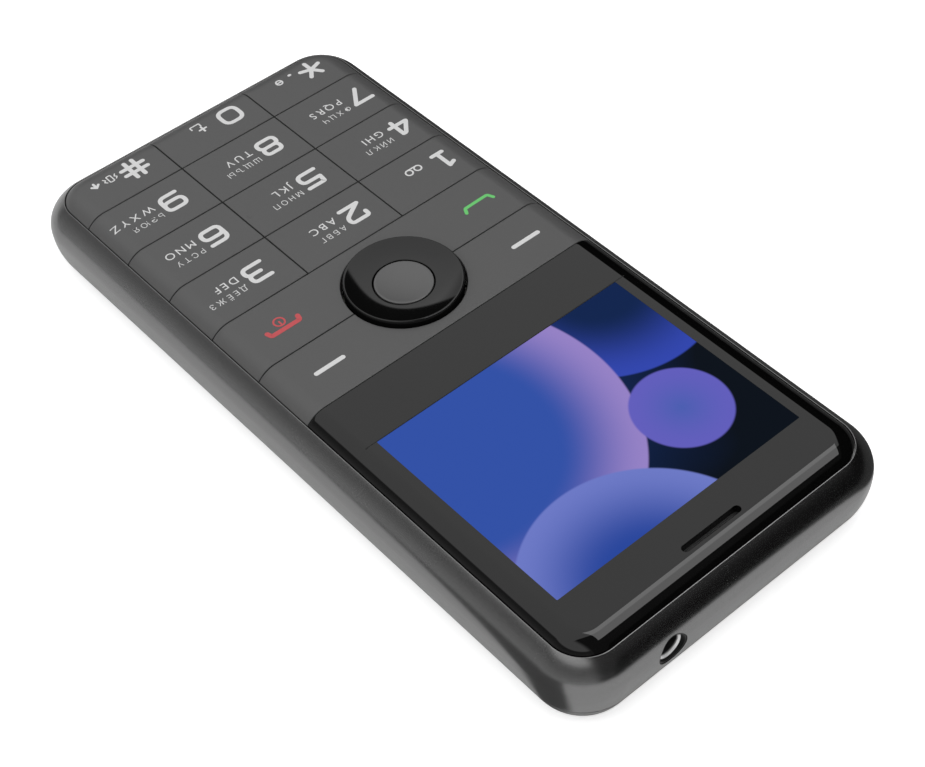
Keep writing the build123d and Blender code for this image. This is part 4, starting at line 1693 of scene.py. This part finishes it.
SIGNS: dict[str, tuple[Stroke, ...]] = {
    "tape": (ring(0.7, (-1, 0)), ring(0.7, (1, 0)), Stroke(((-1, -0.7), (1, -0.7)))),
    "plus": (Stroke(((-1, 0), (1, 0))), Stroke(((0, -1), (0, 1)))),
    "space": (Stroke(((-1, 0.4), (-1, -0.4), (1, -0.4), (1, 0.4)), 0.12),),
    "dot": (Stroke(((-0.2, 0), (0.2, 0))),),
    "lock": (ring(1.0), Stroke(((-0.5, 0), (0.5, 0)))),
    "shake": (Stroke(((-0.5, -1), (0.5, -1), (0.5, 1), (-0.5, 1)), 0.2, True),
              Stroke(((1.1, 0.7), (1.5, 0.25), (1.1, -0.2), (1.5, -0.7))),
              Stroke(((-1.1, 0.7), (-1.5, 0.25), (-1.1, -0.2), (-1.5, -0.7)))),
    "shift": (Stroke(((-1, 0.1), (0, 1), (1, 0.1))), Stroke(((0, -0.8), (0, 0.6)))),
    "answer": (Stroke(((-1, 0.33), (-0.84, -0.05), (0.82, -0.02), (1, 0.33)), 0.1),),
    "end": (Stroke(((-1, -0.24), (-0.92, 0.06), (0.92, 0.06), (1, -0.24)), 0.1),),
    "power": (ring(1.0), Stroke(((0, 0.85), (0, -0.05)))),
    "dash": (Stroke(((-1, 0), (1, 0))),),
    "tick": (Stroke(((0, -1), (0, 1))),),
}
LATIN = {"2": "ABC", "3": "DEF", "4": "GHI", "5": "JKL", "6": "MNO", "7": "PQRS", "8": "TUV", "9": "WXYZ"}
CYRILLIC = {
    "2": "\u0410\u0411\u0412\u0413",
    "3": "\u0414\u0415\u0401\u0416\u0417",
    "4": "\u0418\u0419\u041a\u041b",
    "5": "\u041c\u041d\u041e\u041f",
    "6": "\u0420\u0421\u0422\u0423",
    "7": "\u0424\u0425\u0426\u0427",
    "8": "\u0428\u0429\u042a\u042b",
    "9": "\u042c\u042d\u042e\u042f",
}


def ribbon(line: Sequence[Point], width: float, height: Height, lift: float, sink: float,
           closed: bool) -> bmesh.types.BMesh:
    """A raised stroke of even width along a line, with round ends.

    Args:
        line: The points of its middle line.
        width: The stroke's width.
        height: The height of the surface that carries it.
        lift: How far its top stands above that surface.
        sink: How far its underside lies below it.
        closed: Whether the line runs back to its start.

    Returns:
        A closed mesh.
    """
    half = width / 2
    points = [Vector(point) for point in line]
    sections = []
    for index, point in enumerate(points):
        before = points[index - 1] if index or closed else point
        after = points[(index + 1) % len(points)] if index < len(points) - 1 or closed else point
        ahead, behind = (after - point).normalized(), (point - before).normalized()
        along = (ahead + behind).normalized()
        lean = abs(along.dot(ahead if ahead.length else behind))
        sections.append((point, Vector((-along.y, along.x)), half / max(lean, 0.6)))
    if not closed:
        head, tail = (points[0] - points[1]).normalized(), (points[-1] - points[-2]).normalized()
        turns = [math.radians(20 * step) for step in range(1, 5)]
        first, last = sections[0], sections[-1]
        front = [(first[0] + head * half * math.sin(turn), first[1], half * math.cos(turn)) for turn in turns]
        back = [(last[0] + tail * half * math.sin(turn), last[1], half * math.cos(turn)) for turn in turns]
        sections = front[::-1] + sections + back
    mesh = bmesh.new()
    rows = []
    for point, side, reach in sections:
        left, right = point + side * reach, point - side * reach
        row = []
        for place, rise in ((left, lift), (right, lift), (right, -sink), (left, -sink)):
            row.append(mesh.verts.new((place.x, place.y, height(place.x, place.y) + rise)))
        rows.append(row)
    for low, high in zip(rows, rows[1:] + (rows[:1] if closed else [])):
        for i in range(4):
            j = (i + 1) % 4
            mesh.faces.new((low[i], low[j], high[j], high[i]))
    if not closed:
        mesh.faces.new(rows[0][::-1])
        mesh.faces.new(rows[-1])
    return mesh


SMALL_SIGNS: dict[str, tuple[tuple[str, Point, float, float], ...]] = {
    "1": (("tape", (-16.9, -24.2), 0.85, 0.26),),
    "0": (("plus", (1.1, -55.05), 0.62, 0.34), ("space", (1.75, -56.25), 0.85, 0.24)),
    "star": (("dot", (-17.22, -56.2), 0.5, 0.5), ("lock", (-14.83, -55.8), 0.55, 0.28)),
    "hash": (("shake", (18.7, -55.35), 0.75, 0.2), ("shift", (21.43, -55.6), 0.6, 0.42)),
}
"""Each sign beside a key's digit: its place, half height and width of stroke, in millimetres."""


@dataclass
class Prints:
    """The thin raised prints on keys and bars."""

    form: Form
    lift: float = 0.02 * MM
    step: float = 0.002 * MM
    sink: float = 0.03 * MM
    digit_half: float = 1.68 * MM
    digit_width: float = 0.72 * MM
    digit_place: Point = (-4.1 * MM, -0.1 * MM)
    right_shift: float = 0.6 * MM
    latin_cap: float = 1.4 * MM
    latin_cap_share: float = 0.686
    latin_place: Point = (-1.04 * MM, -0.95 * MM)
    cyrillic_cap: float = 1.1 * MM
    cyrillic_cap_share: float = 0.728
    cyrillic_place: Point = (-1.25 * MM, 1.4 * MM)
    letter_gap: float = 0.55 * MM
    star_place: Point = (-20.75 * MM, -54.88 * MM)
    dash_places: tuple[Point, Point] = ((-19.05 * MM, -0.77 * MM), (18.32 * MM, -0.77 * MM))
    dash_half: float = 2.38 * MM
    dash_width: float = 0.75 * MM
    answer_place: Point = (-19.15 * MM, -12.05 * MM)
    answer_half: float = 2.7 * MM
    answer_width: float = 0.56 * MM
    end_place: Point = (18.36 * MM, -11.03 * MM)
    end_half: float = 2.75 * MM
    end_width: float = 0.78 * MM
    power_place: Point = (18.36 * MM, -12.5 * MM)
    power_half: float = 0.85 * MM
    power_width: float = 0.28 * MM
    tick_x: float = 8.06 * MM
    tick_half: float = 0.45 * MM
    tick_width: float = 0.3 * MM
    letters: dict[str, bpy.types.Mesh] = field(default_factory=dict)

    def mark(self, strokes: Sequence[Stroke], centre: Point, size: float, width: float) -> bmesh.types.BMesh:
        """A mark from its strokes, each a hair higher than the last.

        Args:
            strokes: The strokes, in shares of the half size.
            centre: The mark's middle.
            size: Its half size.
            width: The strokes' width.

        Returns:
            The mark's mesh.
        """
        return gathered(
            ribbon(
                stroke.path(centre, size),
                width,
                self.form.height,
                self.lift + index * self.step,
                self.sink,
                stroke.closed,
            )
            for index, stroke in enumerate(strokes)
        )

    def draw_letters(self) -> None:
        """Turn each letter of the built-in font into a mesh, one font unit high."""
        signs = sorted(set("".join([*LATIN.values(), *CYRILLIC.values()])))
        made = {}
        for sign in signs:
            curve = bpy.data.curves.new("letter", "FONT")
            curve.body = sign
            curve.extrude = 0.5
            curve.resolution_u = 5
            curve.offset = 0.0 if sign in "".join(LATIN.values()) else -0.008
            made[sign] = bpy.data.objects.new("letter", curve)
            bpy.context.scene.collection.objects.link(made[sign])
        graph = bpy.context.evaluated_depsgraph_get()
        for sign, letter in made.items():
            self.letters[sign] = bpy.data.meshes.new_from_object(letter.evaluated_get(graph))
        for letter in made.values():
            curve = letter.data
            bpy.data.objects.remove(letter)
            bpy.data.curves.remove(curve)

    def row(self, signs: str, start: Point, cap: float, cap_share: float) -> list[bmesh.types.BMesh]:
        """A row of letters, laid on the face with even gaps.

        Args:
            signs: The letters.
            start: The row's left end, at half the cap height.
            cap: The cap height.
            cap_share: The cap height as a share of the font's unit.

        Returns:
            One mesh for each letter.
        """
        left, scale, meshes = start[0], cap / cap_share, []
        for sign in signs:
            mesh = bmesh.new()
            mesh.from_mesh(self.letters[sign])
            bmesh.ops.remove_doubles(mesh, verts=mesh.verts, dist=0.0005)
            bmesh.ops.triangulate(mesh, faces=mesh.faces)
            bmesh.ops.subdivide_edges(mesh, edges=mesh.edges, cuts=2)
            across = [vertex.co.x for vertex in mesh.verts]
            low, high = min(across), max(across)
            for vertex in mesh.verts:
                x = left + (vertex.co.x - low) * scale
                y = start[1] + vertex.co.y * scale - cap / 2
                vertex.co = (x, y, self.form.height(x, y) + (self.lift if vertex.co.z > 0 else -self.sink))
            left += (high - low) * scale + self.letter_gap
            meshes.append(mesh)
        return meshes

    def lettering(self, name: str, key: Point) -> list[bmesh.types.BMesh]:
        """Both rows of letters on one key.

        Args:
            name: The key's digit.
            key: The key's middle.

        Returns:
            One mesh for each letter.
        """
        if name not in LATIN:
            return []
        latin = (key[0] + self.latin_place[0], key[1] + self.latin_place[1])
        cyrillic = (key[0] + self.cyrillic_place[0], key[1] + self.cyrillic_place[1])
        return self.row(LATIN[name], latin, self.latin_cap, self.latin_cap_share) + self.row(
            CYRILLIC[name], cyrillic, self.cyrillic_cap, self.cyrillic_cap_share)

    def signs(self, name: str) -> list[bmesh.types.BMesh]:
        """The small signs beside a key's digit.

        Args:
            name: The key's name.

        Returns:
            One mesh for each sign.
        """
        return [self.mark(SIGNS[sign], (x * MM, y * MM), half * MM, width * MM)
                for sign, (x, y), half, width in SMALL_SIGNS.get(name, ())]

    def put(
        self, name: str, parts: Sequence[bmesh.types.BMesh], look: Look, body: str
    ) -> None:
        """Make one piece of a body's prints.

        Args:
            name: The piece's name.
            parts: The meshes of its marks.
            look: The ink.
            body: The body that it rides on.
        """
        place_piece(object_from(name, gathered(parts)), look, body)

    def build(self) -> None:
        """Print the keys, then the bars, and raise the ticks beside the middle key's ends."""
        self.draw_letters()
        for name in ("1", "2", "3", "4", "5", "6", "7", "8", "9", "star", "0", "hash"):
            key = Keypad.middle("key_" + name)
            if key[0] > self.digit_half:
                key = (key[0] + self.right_shift, key[1])
            x, y = key[0] + self.digit_place[0], key[1] + self.digit_place[1]
            if name == "star":
                x, y = self.star_place
            parts = [self.mark(DIGITS[name], (x, y), self.digit_half, self.digit_width)]
            parts += self.lettering(name, key) + self.signs(name)
            self.put(f"key_{name}_print", parts, Look.WHITE_INK, "key_" + name)
        for mesh in self.letters.values():
            bpy.data.meshes.remove(mesh)
        dashes = [self.mark(SIGNS["dash"], place, self.dash_half, self.dash_width)
                  for place in self.dash_places]
        self.put("soft_key_print", dashes, Look.WHITE_INK, "soft_key_bar")
        answer = self.mark(SIGNS["answer"], self.answer_place, self.answer_half, self.answer_width)
        self.put("answer_print", [answer], Look.GREEN_INK, "call_key_bar")
        hang_up = [self.mark(SIGNS["end"], self.end_place, self.end_half, self.end_width),
                   self.mark(SIGNS["power"], self.power_place, self.power_half, self.power_width)]
        self.put("hang_up_print", hang_up, Look.RED_INK, "call_key_bar")
        y = Keypad.middle("key_5")[1]
        ticks = [self.mark(SIGNS["tick"], (side * self.tick_x, y), self.tick_half, self.tick_width)
                 for side in (-1, 1)]
        self.put("key_5_ticks", ticks, Look.KEYS, "key_5")


# Studio


@dataclass
class Studio:
    """Floor, soft light, what the reflections see, and the camera."""

    camera: tuple[float, float, float] = (120.40 * MM, 156.26 * MM, 213.06 * MM)
    right: tuple[float, float, float] = (-0.7530, 0.6570, -0.0381)
    down: tuple[float, float, float] = (0.5056, 0.5405, -0.6725)
    lens: float = 75.28
    floor_half: float = 3.0
    floor_shade: float = 0.9
    floor_lift: float = 0.55
    card_side: float = 28.0 * MM
    card_slopes: Point = (1.06, 0.35)
    card_near: float = 84.0 * MM
    card_far: float = 49.0 * MM
    card_soft: float = 1.2 * MM
    flag_edge: float = -33.0 * MM
    flag_level: float = 0.1
    flag_soft: float = 4 * MM
    world_level: float = 0.55
    dark_side: float = 0.03
    grey_side: float = 0.28
    grey_side_top: float = 0.62
    grey_level: float = 0.15
    grey_low: float = 0.5
    dark_end: float = 0.03
    dark_level: float = 0.06
    corner_patch: float = 0.22
    patch_soft: float = 0.2
    side_soft: float = 0.03
    grey_soft: float = 0.05
    end_soft: float = 0.02
    far_soft: float = 0.06
    far_end: float = -0.82
    far_level: float = 0.55
    strip_place: tuple[float, float, float] = (-49.0 * MM, 73.5 * MM, 113.8 * MM)
    strip_size: Point = (102.0 * MM, 80.0 * MM)
    strip_level: float = 1.85
    lamps: tuple[tuple[str, tuple[float, float, float], float, float], ...] = (
        ("overhead", (0.1, 0.25, 1.1), 1.0, 5.0),
        ("side", (0.9, -0.5, 0.8), 0.7, 2.0),
    )
    sensor: float = 36.0
    clip: Point = (0.01, 20.0)

    def build(self) -> None:
        """Set up everything round the phone."""
        scene = bpy.context.scene
        scene.view_settings.view_transform = "Standard"
        self.build_world(scene)
        self.build_floor()
        self.build_lamps()
        self.build_camera(scene)

    def surround(self, graph: Graph) -> Signal:
        """The tent that reflections see: white, a grey side, a dark side and a dark end.

        Args:
            graph: The world's graph.

        Returns:
            The level by direction.
        """
        split = graph.tree.nodes.new("ShaderNodeSeparateXYZ")
        direction = graph.node("ShaderNodeTexCoord", output="Generated")
        graph.tree.links.new(direction.socket, split.inputs[0])
        x, y, z = (Signal(graph, socket) for socket in split.outputs)
        side = (x + z).smooth(self.dark_side - self.side_soft, self.dark_side + self.side_soft)
        low = 1 - z.smooth(self.grey_side_top - self.side_soft, self.grey_side_top + self.side_soft)
        fade = self.grey_low + z.smooth(0.0, self.grey_side_top) * (self.grey_level - self.grey_low)
        beside = x.smooth(self.grey_side - self.grey_soft, self.grey_side + self.grey_soft)
        right = 1 - beside * low * (1 - fade)
        straight = 1 - x.smooth(self.corner_patch, self.corner_patch + self.patch_soft)
        end = 1 - y.smooth(self.dark_end - self.end_soft, self.dark_end + self.end_soft) * straight
        beyond = y.smooth(self.far_end - self.far_soft, self.far_end + self.far_soft)
        far = self.far_level + beyond * (1 - self.far_level)
        return self.dark_level * (1 - end) * side + side * right * end * far

    def build_world(self, scene: bpy.types.Scene) -> None:
        """White to the camera, the tent to reflections, and a dimmer light on the rest.

        Args:
            scene: The scene that the world belongs to.
        """
        world = bpy.data.worlds.new("studio")
        world.use_nodes = True
        scene.world = world
        graph = Graph(world.node_tree)
        path = graph.tree.nodes.new("ShaderNodeLightPath")
        seen = Signal(graph, path.outputs["Is Camera Ray"])
        glossy = Signal(graph, path.outputs["Is Glossy Ray"])
        through = Signal(graph, path.outputs["Is Transmission Ray"])
        plain = graph.node("ShaderNodeMath", {"operation": "MAXIMUM"}, {0: seen, 1: through})
        level = self.world_level + plain * (1 - self.world_level)
        strength = level * (1 - glossy) + self.surround(graph) * glossy
        back = graph.node("ShaderNodeBackground", None, {"Color": grey(1.0), "Strength": strength})
        end = graph.tree.nodes.new("ShaderNodeOutputWorld")
        graph.tree.links.new(back.socket, end.inputs["Surface"])

    def floor_flags(self, graph: Graph) -> Signal:
        """The dark flags on the floor that reflections see: one beside the phone, one at its corner.

        Args:
            graph: The floor's graph.

        Returns:
            How much of the floor a flag hides.
        """
        x, y, _ = graph.axes()
        soft = self.card_soft
        long_flag = 1 - x.smooth(self.flag_edge - self.flag_soft, self.flag_edge)
        beside = x.smooth(self.card_side - soft, self.card_side + soft)
        near = (y + x * self.card_slopes[0]).smooth(self.card_near - soft, self.card_near + soft)
        far = 1 - (y - x * self.card_slopes[1]).smooth(self.card_far - soft, self.card_far + soft)
        return long_flag * (1 - self.flag_level) + beside * near * far * (1 - 2 * self.flag_level)

    def build_floor(self) -> None:
        """A plain pale floor that keeps the phone's shadow."""
        half = self.floor_half
        mesh = bmesh.new()
        square = ((-half, -half), (half, -half), (half, half), (-half, half))
        mesh.faces.new([mesh.verts.new((x, y, 0.0)) for x, y in square])
        floor = object_from("floor", mesh)
        material = bpy.data.materials.new("pale_floor")
        material.use_nodes = True
        graph = Graph(material.node_tree)
        shade = graph.noise(0.4, 2.0)
        path = graph.tree.nodes.new("ShaderNodeLightPath")
        seen = Signal(graph, path.outputs["Is Camera Ray"])
        glossy = Signal(graph, path.outputs["Is Glossy Ray"])
        flags = glossy * self.floor_flags(graph)
        colour = graph.blend(shade, grey(self.floor_shade - 0.01), grey(self.floor_shade))
        plain = graph.principled(Base_Color=colour, Roughness=0.9)
        lit = graph.node("ShaderNodeEmission", None, {"Color": grey(1.0), "Strength": self.floor_lift})
        both = graph.node("ShaderNodeAddShader", None, {0: plain, 1: lit})
        open_floor = graph.node("ShaderNodeMixShader", None, {0: seen, 1: plain, 2: both})
        black = graph.node("ShaderNodeEmission", None, {"Color": grey(0.0), "Strength": 0.0})
        graph.surface(graph.node("ShaderNodeMixShader", None, {0: flags, 1: open_floor, 2: black}))
        floor.data.materials.append(material)

    def build_lamps(self) -> None:
        """Two large soft lamps overhead, and a small card of light that only reflections see."""
        for name, place, size, power in self.lamps:
            self.lamp(name, place, size, power)
        self.card("strip", self.strip_place, self.strip_size, self.strip_level)

    @staticmethod
    def card(name: str, place: Sequence[float], size: Point, level: float) -> None:
        """Hang a level rectangle of light that only reflections see.

        Args:
            name: The card's name.
            place: Where it hangs.
            size: Its sides along X and Y.
            level: How bright it looks, where the white surround is 1.
        """
        data = bpy.data.lights.new(name, "AREA")
        data.shape = "RECTANGLE"
        data.size, data.size_y = size
        data.energy = 4 * size[0] * size[1] * level
        made = bpy.data.objects.new(name, data)
        made.location = place
        made.visible_camera = False
        made.visible_diffuse = False
        bpy.context.scene.collection.objects.link(made)

    @staticmethod
    def lamp(name: str, place: Sequence[float], size: float, power: float) -> None:
        """Add one square lamp that faces the phone.

        Args:
            name: The lamp's name.
            place: Where it hangs.
            size: Its side.
            power: Its power in watts.
        """
        data = bpy.data.lights.new(name, "AREA")
        data.size = size
        data.energy = power
        made = bpy.data.objects.new(name, data)
        made.location = place
        made.rotation_euler = (-Vector(place)).to_track_quat("-Z", "Y").to_euler()
        made.visible_glossy = False
        bpy.context.scene.collection.objects.link(made)

    def build_camera(self, scene: bpy.types.Scene) -> None:
        """The photograph's viewpoint.

        Args:
            scene: The scene that the camera belongs to.
        """
        data = bpy.data.cameras.new("camera")
        data.lens = self.lens
        data.sensor_width = self.sensor
        data.clip_start, data.clip_end = self.clip
        camera = bpy.data.objects.new("camera", data)
        scene.collection.objects.link(camera)
        right, up = Vector(self.right).normalized(), -Vector(self.down).normalized()
        back = right.cross(up)
        turn = Matrix((right, up, back)).transposed().to_4x4()
        camera.matrix_world = Matrix.Translation(self.camera) @ turn
        scene.camera = camera


def dress_nodes() -> None:
    """Give every CAD node that stays in view its finish."""
    for node, look in NODE_LOOKS.items():
        dress(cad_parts[node], look)


def main() -> None:
    """Build the phone's pieces in order, then the studio."""
    low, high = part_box("front_housing")
    form = Form(high.x, high.y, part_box("display_window")[1].z)
    dress_nodes()
    housing = Housing(form)
    housing.build()
    Jack(housing).build()
    Screws().build()
    Cover(form).build()
    face = Face(form)
    Window(face).build()
    Keypad(face).build()
    Navigation().build()
    Prints(form).build()
    Studio().build()


if __name__ == "__main__":
    main()
